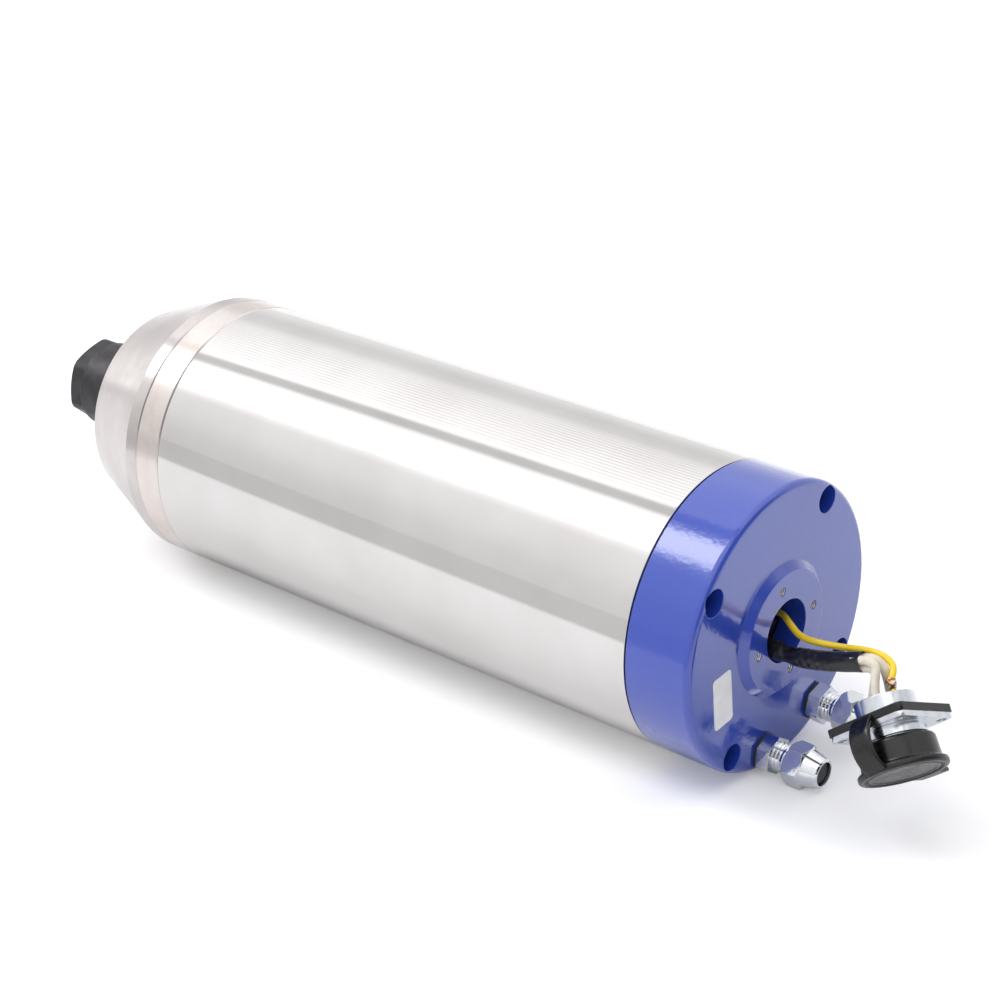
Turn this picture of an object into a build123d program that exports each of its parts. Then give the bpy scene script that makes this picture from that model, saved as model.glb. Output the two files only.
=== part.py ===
from build123d import *
import math
import os

os.makedirs("parts", exist_ok=True)

# Water-cooled motor spindle, lying on its side as it is clamped.
# The spindle axis is X, the tool end points to -X and the blue cover to +X, Z is up.
# The origin is on the axis, halfway along the steel barrel. All lengths are millimetres.

# Main body sizes
barrel_radius = 40.0
barrel_length = 172.0
gasket_thickness = 0.3
ring_length = 9.1
nose_land_length = 4.4
nose_cone_length = 25.0
nose_face_radius = 30.5
cover_length = 19.8
cover_rim_radius = 1.8
hub_height = 2.1
hub_foot_radius = 18.7
hub_face_radius = 16.7
seam_chamfer = 0.35

# Fits
running_gap = 0.03
seat_gap = 0.02
loose_gap = 0.15

# Axial places, from the barrel outwards
barrel_rear = barrel_length / 2
barrel_front = -barrel_rear
ring_rear = barrel_front - gasket_thickness
ring_front = ring_rear - ring_length
cone_start = ring_front - nose_land_length
nose_face = cone_start - nose_cone_length
cover_front = barrel_rear + gasket_thickness
cover_rear = cover_front + cover_length
hub_face = cover_rear + hub_height

# Turn of the rear end about the axis: the ports point down at this angle from +Y
down_angle = -77.5

# Water channels drilled along the barrel wall, and the ports that feed them
channel_circle_radius = 34.7
channel_radius = 3.0
port_half_angle = 19.8
channel_half_angles = [port_half_angle, 70.0, 110.0, 160.0]
pocket_depth = 3.0

# Screws: M4 for the cover and the front ring, M3 for the nose
m4_radius = 2.0
m4_head_radius = 3.5
m4_head_height = 4.0
m3_radius = 1.5
m3_head_radius = 2.75
m3_head_height = 3.0
head_room = 0.3
cover_screw_circle = 35.5
cover_screw_length = 20.0
cover_counterbore_depth = 10.0
ring_screw_circle = 35.0
ring_screw_length = 16.0
nose_screw_circle = 26.75
nose_screw_count = 6
nose_screw_length = 35.0

# Motor inside the barrel
stator_radius = 29.5
stator_bore_radius = 16.5
stator_front = -42.0
stator_length = 90.0
slot_count = 24
slot_width = 2.6
slot_inner_radius = 17.5
slot_outer_radius = 24.5
slot_mouth_width = 1.2
end_turn_length = 9.0
end_turn_outer_radius = 26.0
air_gap = 0.3
rotor_bar_count = 20
rotor_bar_radius = 1.6
rotor_bar_circle = 13.6
rotor_ring_length = 5.0
rotor_shaft_radius = 10.0

# Angular contact bearings: two 25 x 47 x 12 at the nose, two 15 x 32 x 9 at the rear
front_bore_radius = 12.5
front_outer_radius = 23.5
front_bearing_width = 12.0
front_ball_radius = 3.175
front_ball_count = 14
bearing_spacer_length = 8.0
rear_bore_radius = 7.5
rear_outer_radius = 16.0
rear_bearing_width = 9.0
rear_ball_radius = 2.38
rear_ball_count = 11
ball_gap = 0.07
housing_bore_radius = 30.0
front_shoulder_radius = 20.0
front_shoulder_length = 5.4
rear_housing_length = 24.0
rear_bearing_set_back = 3.0

# Shaft nose, collet and collet nut (size 16 collet with a 6 mm bore)
shaft_nose_reach = 26.0
nut_thread_radius = 11.0
nut_thread_length = 13.0
wrench_flat_length = 9.0
wrench_across_flats = 21.0
shaft_shoulder_radius = 15.5
slinger_radius = 21.5
slinger_length = 4.0
collet_rim_radius = 8.4
collet_length = 27.0
collet_bore_radius = 3.0
collet_half_angle = 8.0
collet_front_angle = 30.0
collet_rim_length = 1.4
collet_face_radius = 6.3
collet_slit_width = 0.7
nut_length = 17.5
nut_radius = 13.4
nut_across_flats = 24.0
nut_hex_length = 7.0
nut_hex_turn = 80.0
nut_face_radius = 10.5

# Rear end of the shaft
lock_nut_length = 6.0
front_lock_nut_length = 8.0
front_lock_nut_radius = 18.5
rear_lock_nut_radius = 12.0

# Cover chamber and cable bore
chamber_radius = 26.5
chamber_depth = 12.2
cable_bore_radius = 8.8
bore_lead_in = 2.0
hub_hole_circle = 12.5
hub_hole_radius = 1.25
hub_hole_depth = 6.0
hub_hole_angle = down_angle + 90.0

# Water fittings
fitting_thread_radius = 4.0
fitting_thread_depth = 8.0
fitting_thread_pitch = 1.0
fitting_thread_height = 0.45
washer_thickness = 0.8
fitting_across_flats = 9.5
fitting_hex_length = 3.7
fitting_stem_length = 6.4
fitting_bore_radius = 2.2
tube_radius = 3.0
near_hex_turn = 87.5
far_hex_turn = 75.7
compression_nut_gap = 4.1
compression_nut_across_flats = 10.7
compression_hex_length = 5.5
compression_cone_length = 4.7
compression_face_radius = 4.05
compression_mouth_radius = 3.27
compression_hex_turn = 59.0

# Socket held up by its leads: a square-flanged four-pin socket with a rubber dust cap
socket_place = (146.5, -8.9, -11.2)
socket_yaw = -32.4
socket_pitch = 44.0
socket_roll = -32.1
flange_side = 22.4
flange_thickness = 1.5
flange_corner_radius = 1.5
flange_hole_radius = 1.4
gasket_side = 23.0
flange_gasket_thickness = 2.0
rear_barrel_radius = 7.8
rear_barrel_reach = 8.2
socket_bore_radius = 6.4
shoulder_radius = 8.6
shoulder_length = 2.4
socket_barrel_radius = 7.8
socket_barrel_length = 8.6
insulator_length = 6.6
pin_circle = 3.4
pin_radius = 0.9
pin_reach = 7.0
earth_pin_reach = 3.0
solder_length = 3.2
solder_radius = 1.6
cap_wall = 2.1
cap_mouth = 2.9
cap_disc_radius = 11.7
cap_disc_thickness = 2.0
cap_end = 11.3
tab_reach = 16.5
tab_width = 8.0
tab_thickness = 1.6
tab_angle = -5.0
strap_width = 6.0
strap_thickness = 1.5
strap_bulge = 3.2

# Leads
lead_radius = 1.2
lead_spread = 1.5
sleeve_radius = 2.7
earth_wire_radius = 0.9
inner_sleeve_radius = 1.9
arc_share = 0.45

# Blank label on the cover
label_width = 7.8
label_height = 15.3
label_y = -24.6
label_z = -10.6
label_turn = 7.0
label_thickness = 0.15


# Axial places of the bearings and of the shaft nose
front_bearings_end = ring_front + 2 * front_bearing_width + bearing_spacer_length
front_housing_end = front_bearings_end + front_shoulder_length
front_shaft_end = nose_face - shaft_nose_reach
rear_housing_start = barrel_rear - rear_housing_length
rear_bearings_start = rear_housing_start + rear_bearing_set_back
rear_bearings_end = rear_bearings_start + 2 * rear_bearing_width

# Shared shapes

def outline(*points):
    """A closed outline in the plane of the axis: X along the spindle, Y as the radius."""
    with BuildSketch(Plane.XY) as sketch:
        with BuildLine():
            Polyline(*points, close=True)
        make_face()
    return sketch.sketch


def tube(start, end, inner, outer):
    """The outline of a plain ring between two axial places."""
    return outline((start, inner), (end, inner), (end, outer), (start, outer))


def thread_outline(start, end, root_inner, crest, height, pitch):
    """The outline of a threaded sleeve, with one ridge for each turn of thread."""
    turns = max(1, int((end - start) / pitch))
    step = (end - start) / turns
    points = [(start, root_inner), (start, crest - height)]
    for turn in range(turns):
        points.append((start + (turn + 0.5) * step, crest))
        points.append((start + (turn + 1) * step, crest - height))
    points.append((end, root_inner))
    return outline(*points)


def on_circle(radius, angle):
    """A point of the YZ plane, from its radius and its angle from +Y."""
    turn = math.radians(angle)
    return (radius * math.cos(turn), radius * math.sin(turn))


def save(piece, label):
    """Name the finished piece and write it as a file of its own."""
    piece.part.label = label
    export_step(piece.part, f"parts/{label}.step")


def bend_radii(points, name):
    """Bend radii as large as the runs beside each corner allow."""
    radii = []
    for before, corner, after in zip(points, points[1:], points[2:]):
        run_in = Vector(*corner) - Vector(*before)
        run_out = Vector(*after) - Vector(*corner)
        half_turn = math.radians(run_in.get_angle(run_out) / 2)
        shorter = min(run_in.length, run_out.length)
        radii.append(arc_share * shorter / math.tan(half_turn))
    print(name, "bend radii", [round(radius, 1) for radius in radii])
    return radii


def eased(start, start_direction, start_run, end, end_direction, end_run, reach, count):
    """Points of a lead that leaves along one direction and arrives along another, turning evenly.
    It runs straight at both ends, and reach says how far each direction is followed after that."""
    first = start + start_direction * start_run
    last = end - end_direction * end_run
    handles = [first, first + start_direction * reach, last - end_direction * reach, last]
    points = [start, first]
    for step in range(1, count):
        t = step / count
        weights = [(1 - t) ** 3, 3 * t * (1 - t) ** 2, 3 * t**2 * (1 - t), t**3]
        points.append(sum((handle * weight for handle, weight in zip(handles, weights)), Vector(0, 0, 0)))
    return [tuple(point) for point in points + [last, end]]


def lead_part(points, radius, name):
    """A round lead along straight runs joined by tangent arcs."""
    with BuildPart() as lead:
        with BuildLine() as route:
            FilletPolyline(*points, radius=bend_radii(points, name))
        path = route.wire()
        with BuildSketch(Plane(origin=points[0], z_dir=path.tangent_at(0))):
            Circle(radius)
        sweep(path=path)
    drawn = math.pi * radius**2 * path.length
    print(name, "length", round(path.length, 1), "volume share", round(lead.part.volume / drawn, 4))
    return lead


channel_angles = [down_angle + side * angle for angle in channel_half_angles for side in (-1, 1)]
port_angles = {"inlet": down_angle - port_half_angle, "outlet": down_angle + port_half_angle}
cover_screw_start = down_angle + 45.0
ring_screw_start = down_angle


def channel_holes(radius, angles):
    """Circles at the water channels, for the sketch that is being drawn."""
    with Locations(*[on_circle(channel_circle_radius, angle) for angle in angles]):
        Circle(radius)


def return_pockets(spans):
    """Curved pockets that join one water channel to the next."""
    for first, last in spans:
        SlotArc(
            CenterArc((0, 0), channel_circle_radius, down_angle + first, last - first),
            2 * channel_radius,
        )


# Barrel with its drilled water channels
with BuildPart() as outer_barrel:
    revolve(
        outline(
            (barrel_front, housing_bore_radius),
            (front_housing_end, housing_bore_radius),
            (front_housing_end, stator_radius),
            (barrel_rear - rear_housing_length, stator_radius),
            (barrel_rear - rear_housing_length, housing_bore_radius),
            (barrel_rear, housing_bore_radius),
            (barrel_rear, barrel_radius - seam_chamfer),
            (barrel_rear - seam_chamfer, barrel_radius),
            (barrel_front + seam_chamfer, barrel_radius),
            (barrel_front, barrel_radius - seam_chamfer),
        ),
        axis=Axis.X,
    )
    with BuildSketch(Plane.YZ.offset(barrel_front)):
        channel_holes(channel_radius, channel_angles)
    extrude(amount=barrel_length, mode=Mode.SUBTRACT)
    with BuildSketch(Plane.YZ.offset(barrel_rear)):
        with PolarLocations(cover_screw_circle, 4, cover_screw_start):
            Circle(m4_radius + seat_gap)
    extrude(amount=-cover_screw_length + cover_length - cover_counterbore_depth - 2, mode=Mode.SUBTRACT)
    with BuildSketch(Plane.YZ.offset(barrel_front)):
        with PolarLocations(ring_screw_circle, 4, ring_screw_start):
            Circle(m4_radius + seat_gap)
    extrude(amount=ring_screw_length - 2, mode=Mode.SUBTRACT)
save(outer_barrel, "outer_barrel")


# Water gaskets at both ends of the barrel
def water_gasket(start, screw_circle, screw_start):
    with BuildPart() as gasket:
        with BuildSketch(Plane.YZ.offset(start)):
            Circle(barrel_radius - 2 * seam_chamfer)
            Circle(housing_bore_radius + loose_gap, mode=Mode.SUBTRACT)
            with PolarLocations(screw_circle, 4, screw_start):
                Circle(m4_radius + loose_gap, mode=Mode.SUBTRACT)
            with Locations(*[on_circle(channel_circle_radius, angle) for angle in channel_angles]):
                Circle(channel_radius, mode=Mode.SUBTRACT)
        extrude(amount=gasket_thickness)
    return gasket


save(water_gasket(ring_rear, ring_screw_circle, ring_screw_start), "front_water_gasket")
save(water_gasket(barrel_rear, cover_screw_circle, cover_screw_start), "rear_water_gasket")

# Front ring: the bearing housing whose flange shows as a band between nose and barrel
with BuildPart() as front_housing:
    revolve(
        outline(
            (ring_front, front_outer_radius + seat_gap),
            (front_bearings_end, front_outer_radius + seat_gap),
            (front_bearings_end, front_shoulder_radius),
            (front_housing_end, front_shoulder_radius),
            (front_housing_end, housing_bore_radius - seat_gap),
            (ring_rear, housing_bore_radius - seat_gap),
            (ring_rear, barrel_radius - seam_chamfer),
            (ring_rear - seam_chamfer, barrel_radius),
            (ring_front + seam_chamfer, barrel_radius),
            (ring_front, barrel_radius - seam_chamfer),
        ),
        axis=Axis.X,
    )
    with BuildSketch(Plane.YZ.offset(ring_front)):
        with PolarLocations(ring_screw_circle, 4, ring_screw_start):
            Circle(m4_radius + loose_gap)
    extrude(amount=ring_length, mode=Mode.SUBTRACT)
    with BuildSketch(Plane.YZ.offset(ring_front)):
        with PolarLocations(ring_screw_circle, 4, ring_screw_start):
            Circle(m4_head_radius + head_room)
    extrude(amount=m4_head_height + head_room, mode=Mode.SUBTRACT)
    with BuildSketch(Plane.YZ.offset(ring_front)):
        with PolarLocations(nose_screw_circle, nose_screw_count):
            Circle(m3_radius + seat_gap)
    extrude(amount=ring_length + 2, mode=Mode.SUBTRACT)
    with BuildSketch(Plane.YZ.offset(ring_rear)):
        return_pockets([(-70, -port_half_angle), (port_half_angle, 70), (110, 160), (-160, -110)])
    extrude(amount=-pocket_depth, mode=Mode.SUBTRACT)
save(front_housing, "front_bearing_housing")

# Nose cap: the cone over the front bearings, with a recess for the slinger
slinger_front = nose_face + 0.5
slinger_rear = slinger_front + slinger_length
nose_lip_length = 4.0
with BuildPart() as nose_cap:
    revolve(
        outline(
            (nose_face, slinger_radius + 2 * head_room),
            (slinger_rear + head_room, slinger_radius + 2 * head_room),
            (slinger_rear + head_room, shaft_shoulder_radius + head_room),
            (ring_front - nose_lip_length, shaft_shoulder_radius + head_room),
            (ring_front - nose_lip_length, front_shoulder_radius),
            (ring_front, front_shoulder_radius),
            (ring_front, barrel_radius - seam_chamfer),
            (ring_front - seam_chamfer, barrel_radius),
            (cone_start, barrel_radius),
            (nose_face + seam_chamfer, nose_face_radius),
            (nose_face, nose_face_radius - seam_chamfer),
        ),
        axis=Axis.X,
    )
    with BuildSketch(Plane.YZ.offset(nose_face)):
        with PolarLocations(nose_screw_circle, nose_screw_count):
            Circle(m3_radius + loose_gap)
    extrude(amount=ring_front - nose_face, mode=Mode.SUBTRACT)
    with BuildSketch(Plane.YZ.offset(nose_face)):
        with PolarLocations(nose_screw_circle, nose_screw_count):
            Circle(m3_head_radius + head_room)
    extrude(amount=m3_head_height + head_room, mode=Mode.SUBTRACT)
save(nose_cap, "nose_cap")


# Socket head cap screws, seated by the underside of the head
def cap_screws(seat, toward, circle, count, start, radius, length, head_radius, head_height):
    """A ring of cap screws; toward is 1 where the heads point to +X and -1 for -X."""
    with BuildPart() as screws:
        with BuildSketch(Plane.YZ.offset(seat)):
            with PolarLocations(circle, count, start):
                Circle(radius)
        extrude(amount=-toward * length)
        with BuildSketch(Plane.YZ.offset(seat)):
            with PolarLocations(circle, count, start):
                Circle(head_radius)
        extrude(amount=toward * head_height)
        with BuildSketch(Plane.YZ.offset(seat + toward * head_height)):
            with PolarLocations(circle, count, start):
                RegularPolygon(0.86 * radius, 6)
        extrude(amount=-toward * head_height / 2, mode=Mode.SUBTRACT)
    return screws


save(
    cap_screws(
        ring_front + m4_head_height + head_room, -1, ring_screw_circle, 4, ring_screw_start,
        m4_radius, ring_screw_length, m4_head_radius, m4_head_height,
    ),
    "front_ring_screws",
)
save(
    cap_screws(
        nose_face + m3_head_height + head_room, -1, nose_screw_circle, nose_screw_count, 0,
        m3_radius, nose_screw_length, m3_head_radius, m3_head_height,
    ),
    "nose_screws",
)
save(
    cap_screws(
        cover_rear - cover_counterbore_depth, 1, cover_screw_circle, 4, cover_screw_start,
        m4_radius, cover_screw_length, m4_head_radius, m4_head_height,
    ),
    "cover_screws",
)

# Stator laminations with their winding slots
stator_rear = stator_front + stator_length
with BuildPart() as stator_core:
    with BuildSketch(Plane.YZ.offset(stator_front)):
        Circle(stator_radius - seat_gap)
        Circle(stator_bore_radius, mode=Mode.SUBTRACT)
        with PolarLocations((slot_inner_radius + slot_outer_radius) / 2, slot_count):
            Rectangle(slot_outer_radius - slot_inner_radius, slot_width, mode=Mode.SUBTRACT)
        with PolarLocations(stator_bore_radius + 0.5, slot_count):
            Rectangle(2.4, slot_mouth_width, mode=Mode.SUBTRACT)
    extrude(amount=stator_length)
save(stator_core, "stator_core")

# Winding: copper in the slots, joined by the end turns
with BuildPart() as stator_winding:
    with BuildSketch(Plane.YZ.offset(stator_front - 2)):
        with PolarLocations((slot_inner_radius + slot_outer_radius) / 2, slot_count):
            Rectangle(slot_outer_radius - slot_inner_radius - 2 * loose_gap, slot_width - 2 * loose_gap)
    extrude(amount=stator_length + 4)
    for ring_start in (stator_front - 1 - end_turn_length, stator_rear + 1):
        revolve(
            tube(ring_start, ring_start + end_turn_length, slot_inner_radius + loose_gap, end_turn_outer_radius),
            axis=Axis.X,
        )
    fillet(stator_winding.edges().filter_by(GeomType.CIRCLE).group_by(Axis.X)[0], radius=2.0)
    fillet(stator_winding.edges().filter_by(GeomType.CIRCLE).group_by(Axis.X)[-1], radius=2.0)
save(stator_winding, "stator_winding")

# Rotor laminations
rotor_radius = stator_bore_radius - air_gap
with BuildPart() as rotor_core:
    with BuildSketch(Plane.YZ.offset(stator_front)):
        Circle(rotor_radius)
        Circle(rotor_shaft_radius + seat_gap, mode=Mode.SUBTRACT)
        with PolarLocations(rotor_bar_circle, rotor_bar_count):
            Circle(rotor_bar_radius + seat_gap, mode=Mode.SUBTRACT)
    extrude(amount=stator_length)
save(rotor_core, "rotor_core")

# Rotor cage: cast aluminium bars with a short-circuit ring at each end
with BuildPart() as rotor_cage:
    with BuildSketch(Plane.YZ.offset(stator_front)):
        with PolarLocations(rotor_bar_circle, rotor_bar_count):
            Circle(rotor_bar_radius)
    extrude(amount=stator_length)
    for ring_start in (stator_front - rotor_ring_length, stator_rear):
        revolve(
            tube(ring_start, ring_start + rotor_ring_length, rotor_shaft_radius + seat_gap, rotor_radius - 0.5),
            axis=Axis.X,
        )
save(rotor_cage, "rotor_cage")

# Shaft with its collet taper
shaft_rear = rear_bearings_end + lock_nut_length + 0.5
taper_slope = math.tan(math.radians(collet_half_angle))
taper_length = collet_length - 5.0
collet_tail_radius = collet_rim_radius - taper_length * taper_slope
with BuildPart() as shaft:
    revolve(
        outline(
            (front_shaft_end, collet_rim_radius + running_gap),
            (front_shaft_end, nut_thread_radius - 0.5),
            (front_shaft_end + 0.5, nut_thread_radius),
            (front_shaft_end + nut_thread_length, nut_thread_radius),
            (front_shaft_end + nut_thread_length, front_bore_radius - seat_gap),
            (slinger_rear, front_bore_radius - seat_gap),
            (slinger_rear, shaft_shoulder_radius),
            (ring_front, shaft_shoulder_radius),
            (ring_front, front_bore_radius - seat_gap),
            (front_bearings_end + front_lock_nut_length, front_bore_radius - seat_gap),
            (front_bearings_end + front_lock_nut_length, rotor_shaft_radius),
            (rear_bearings_start, rotor_shaft_radius),
            (rear_bearings_start, rear_bore_radius - seat_gap),
            (shaft_rear, rear_bore_radius - seat_gap),
            (shaft_rear, 0),
            (front_shaft_end + collet_length + 8, 0),
            (front_shaft_end + collet_length + 5, collet_tail_radius),
            (front_shaft_end + taper_length, collet_tail_radius + running_gap),
        ),
        axis=Axis.X,
    )
    with BuildSketch(Plane.YZ.offset(front_shaft_end + nut_thread_length)):
        with Locations((0, wrench_across_flats), (0, -wrench_across_flats)):
            Rectangle(2 * front_bore_radius, wrench_across_flats)
    extrude(amount=wrench_flat_length, mode=Mode.SUBTRACT)
save(shaft, "shaft")

# Slinger that keeps chips and coolant out of the nose
with BuildPart() as slinger:
    revolve(
        outline(
            (slinger_front, front_bore_radius),
            (slinger_front, slinger_radius - 1.5),
            (slinger_front + 1.5, slinger_radius),
            (slinger_rear, slinger_radius),
            (slinger_rear, front_bore_radius),
        ),
        axis=Axis.X,
    )
save(slinger, "nose_slinger")


# Bearings: races, cages and balls of one pair
def bearing_pair(name, starts, bore, outer, width, ball, count):
    """Two angular contact bearings, written as races, cages and ball sets."""
    pitch = (bore + outer) / 2
    groove = ball + ball_gap
    inner_rim = pitch - 0.53 * ball
    outer_rim = pitch + 0.53 * ball
    cage_inner = inner_rim + running_gap + 0.2
    cage_outer = outer_rim - running_gap - 0.2
    with BuildPart() as outer_races:
        for start in starts:
            revolve(tube(start, start + width, outer_rim, outer), axis=Axis.X)
            with BuildSketch(Plane.XY):
                with Locations((start + width / 2, pitch)):
                    Circle(groove)
            revolve(axis=Axis.X, mode=Mode.SUBTRACT)
    save(outer_races, f"{name}_outer_races")
    with BuildPart() as inner_races:
        for start in starts:
            revolve(tube(start, start + width, bore, inner_rim), axis=Axis.X)
            with BuildSketch(Plane.XY):
                with Locations((start + width / 2, pitch)):
                    Circle(groove)
            revolve(axis=Axis.X, mode=Mode.SUBTRACT)
    save(inner_races, f"{name}_inner_races")
    with BuildPart() as cages:
        for start in starts:
            middle = start + width / 2
            half = ball + 1.0
            revolve(tube(middle - half, middle + half, cage_inner, cage_outer), axis=Axis.X)
            for pocket in range(count):
                side, height = on_circle(cage_inner - 1, 360 * pocket / count)
                outward = (0, side / (cage_inner - 1), height / (cage_inner - 1))
                with BuildSketch(Plane(origin=(middle, side, height), z_dir=outward)):
                    Circle(groove)
                extrude(amount=cage_outer - cage_inner + 2, mode=Mode.SUBTRACT)
    save(cages, f"{name}_ball_cages")
    with BuildPart() as balls:
        for start in starts:
            with Locations(Plane.YZ.offset(start + width / 2)):
                with PolarLocations(pitch, count):
                    Sphere(ball)
    save(balls, f"{name}_balls")


front_starts = [ring_front, ring_front + front_bearing_width + bearing_spacer_length]
rear_starts = [rear_bearings_start, rear_bearings_start + rear_bearing_width]
bearing_pair(
    "front", front_starts, front_bore_radius, front_outer_radius,
    front_bearing_width, front_ball_radius, front_ball_count,
)
bearing_pair(
    "rear", rear_starts, rear_bore_radius, rear_outer_radius,
    rear_bearing_width, rear_ball_radius, rear_ball_count,
)

# Spacers between the front bearings
spacer_start = ring_front + front_bearing_width
with BuildPart() as outer_spacer:
    revolve(
        tube(spacer_start, spacer_start + bearing_spacer_length, front_outer_radius - 3, front_outer_radius),
        axis=Axis.X,
    )
save(outer_spacer, "front_outer_spacer")
with BuildPart() as inner_spacer:
    revolve(
        tube(spacer_start, spacer_start + bearing_spacer_length, front_bore_radius, front_bore_radius + 3),
        axis=Axis.X,
    )
save(inner_spacer, "front_inner_spacer")


# Lock nuts that clamp the inner races to the shaft, with four spanner slots each
def lock_nut(start, length, bore, radius):
    with BuildPart() as nut:
        revolve(tube(start, start + length, bore, radius), axis=Axis.X)
        with BuildSketch(Plane.YZ.offset(start + length)):
            with PolarLocations(radius, 4):
                Rectangle(3.0, 4.0)
        extrude(amount=-length / 2, mode=Mode.SUBTRACT)
    return nut


save(lock_nut(front_bearings_end, front_lock_nut_length, front_bore_radius, front_lock_nut_radius), "front_lock_nut")
save(lock_nut(rear_bearings_end, lock_nut_length, rear_bore_radius, rear_lock_nut_radius), "rear_lock_nut")

# Rear bearing housing, with a passage for the winding leads
lead_passage_angle = 223.0
lead_passage_circle = 20.6
lead_y, lead_z = on_circle(lead_passage_circle, lead_passage_angle)
with BuildPart() as rear_housing:
    revolve(
        outline(
            (rear_housing_start, rear_outer_radius - 3.5),
            (rear_bearings_start - 1.4, rear_outer_radius - 3.5),
            (rear_bearings_start - 1.4, rear_outer_radius + seat_gap),
            (barrel_rear + gasket_thickness, rear_outer_radius + seat_gap),
            (barrel_rear + gasket_thickness, housing_bore_radius - seat_gap),
            (rear_housing_start, housing_bore_radius - seat_gap),
        ),
        axis=Axis.X,
    )
    with BuildSketch(Plane.YZ.offset(rear_housing_start)):
        with Locations((lead_y, lead_z)):
            Circle(inner_sleeve_radius + loose_gap)
    extrude(amount=rear_housing_length + gasket_thickness, mode=Mode.SUBTRACT)
    with BuildSketch(Plane.YZ.offset(barrel_rear + gasket_thickness)):
        with Locations(on_circle(lead_passage_circle, -20)):
            Circle(m3_radius + seat_gap)
    extrude(amount=-8, mode=Mode.SUBTRACT)
save(rear_housing, "rear_bearing_housing")

# Disc spring that preloads the rear bearings
with BuildPart() as preload_spring:
    revolve(
        outline(
            (rear_bearings_start - 1.35, 13.2),
            (rear_bearings_start - 0.65, 13.2),
            (rear_bearings_start - 0.05, 15.7),
            (rear_bearings_start - 0.75, 15.7),
        ),
        axis=Axis.X,
    )
save(preload_spring, "preload_disc_spring")

# Blue rear cover with its raised hub, screw counterbores and water ports
chamber_end = cover_front + chamber_depth
with BuildPart() as rear_cover:
    with BuildSketch(Plane.XY):
        with BuildLine():
            Polyline(
                (chamber_end, cable_bore_radius + bore_lead_in),
                (chamber_end + bore_lead_in, cable_bore_radius),
                (hub_face, cable_bore_radius),
                (hub_face, hub_face_radius),
                (cover_rear, hub_foot_radius),
                (cover_rear, barrel_radius - cover_rim_radius),
            )
            RadiusArc(
                (cover_rear, barrel_radius - cover_rim_radius),
                (cover_rear - cover_rim_radius, barrel_radius),
                -cover_rim_radius,
            )
            Polyline(
                (cover_rear - cover_rim_radius, barrel_radius),
                (cover_front + seam_chamfer, barrel_radius),
                (cover_front, barrel_radius - seam_chamfer),
                (cover_front, chamber_radius),
                (chamber_end, chamber_radius),
                (chamber_end, cable_bore_radius + bore_lead_in),
            )
        make_face()
    revolve(axis=Axis.X)
    with BuildSketch(Plane.YZ.offset(cover_rear)):
        with PolarLocations(cover_screw_circle, 4, cover_screw_start):
            Circle(m4_radius + loose_gap)
    extrude(amount=-cover_length, mode=Mode.SUBTRACT)
    with BuildSketch(Plane.YZ.offset(cover_rear)):
        with PolarLocations(cover_screw_circle, 4, cover_screw_start):
            Circle(m4_head_radius + head_room)
    extrude(amount=-cover_counterbore_depth, mode=Mode.SUBTRACT)
    with BuildSketch(Plane.YZ.offset(cover_rear)):
        channel_holes(fitting_thread_radius + running_gap, port_angles.values())
    extrude(amount=-fitting_thread_depth - 1, mode=Mode.SUBTRACT)
    with BuildSketch(Plane.YZ.offset(cover_rear)):
        channel_holes(channel_radius, port_angles.values())
    extrude(amount=-cover_length, mode=Mode.SUBTRACT)
    with BuildSketch(Plane.YZ.offset(cover_front)):
        return_pockets([(70, 110), (160, 200), (-110, -70)])
    extrude(amount=pocket_depth, mode=Mode.SUBTRACT)
    with BuildSketch(Plane.YZ.offset(hub_face)):
        with PolarLocations(hub_hole_circle, 4, hub_hole_angle):
            Circle(hub_hole_radius)
    extrude(amount=-hub_hole_depth, mode=Mode.SUBTRACT)
save(rear_cover, "rear_cover")

# Blank label stuck on the cover
with BuildPart() as blank_label:
    with BuildSketch(Plane.YZ.offset(cover_rear)):
        with Locations(Location((label_y, label_z, 0), (0, 0, label_turn))):
            RectangleRounded(label_width, label_height, 1.2)
    extrude(amount=label_thickness)
save(blank_label, "blank_label")

# Earth terminal and its screw, inside the cover chamber
terminal_y, terminal_z = on_circle(lead_passage_circle, -20)
terminal_face = barrel_rear + gasket_thickness
terminal_thickness = 0.8
barrel_y, barrel_z = on_circle(lead_passage_circle - 6.2, -20)
with BuildPart() as earth_terminal:
    with BuildSketch(Plane.YZ.offset(terminal_face)):
        with Locations((terminal_y, terminal_z)):
            Circle(3.2)
        with Locations(Location((*on_circle(lead_passage_circle - 3.6, -20), 0), (0, 0, -20))):
            Rectangle(5.6, 2.6)
        with Locations((terminal_y, terminal_z)):
            Circle(m3_radius + loose_gap, mode=Mode.SUBTRACT)
    extrude(amount=terminal_thickness)
    with BuildSketch(Plane.YZ.offset(terminal_face + terminal_thickness)):
        with Locations((barrel_y, barrel_z)):
            Circle(earth_wire_radius + 0.5)
    extrude(amount=3.0)
save(earth_terminal, "earth_terminal")
with BuildPart() as earth_screw:
    with BuildSketch(Plane.YZ.offset(terminal_face + terminal_thickness)):
        with Locations((terminal_y, terminal_z)):
            Circle(m3_head_radius)
    extrude(amount=2.0)
    with BuildSketch(Plane.YZ.offset(terminal_face + terminal_thickness)):
        with Locations((terminal_y, terminal_z)):
            Circle(m3_radius)
    extrude(amount=-6.0)
save(earth_screw, "earth_screw")

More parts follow.
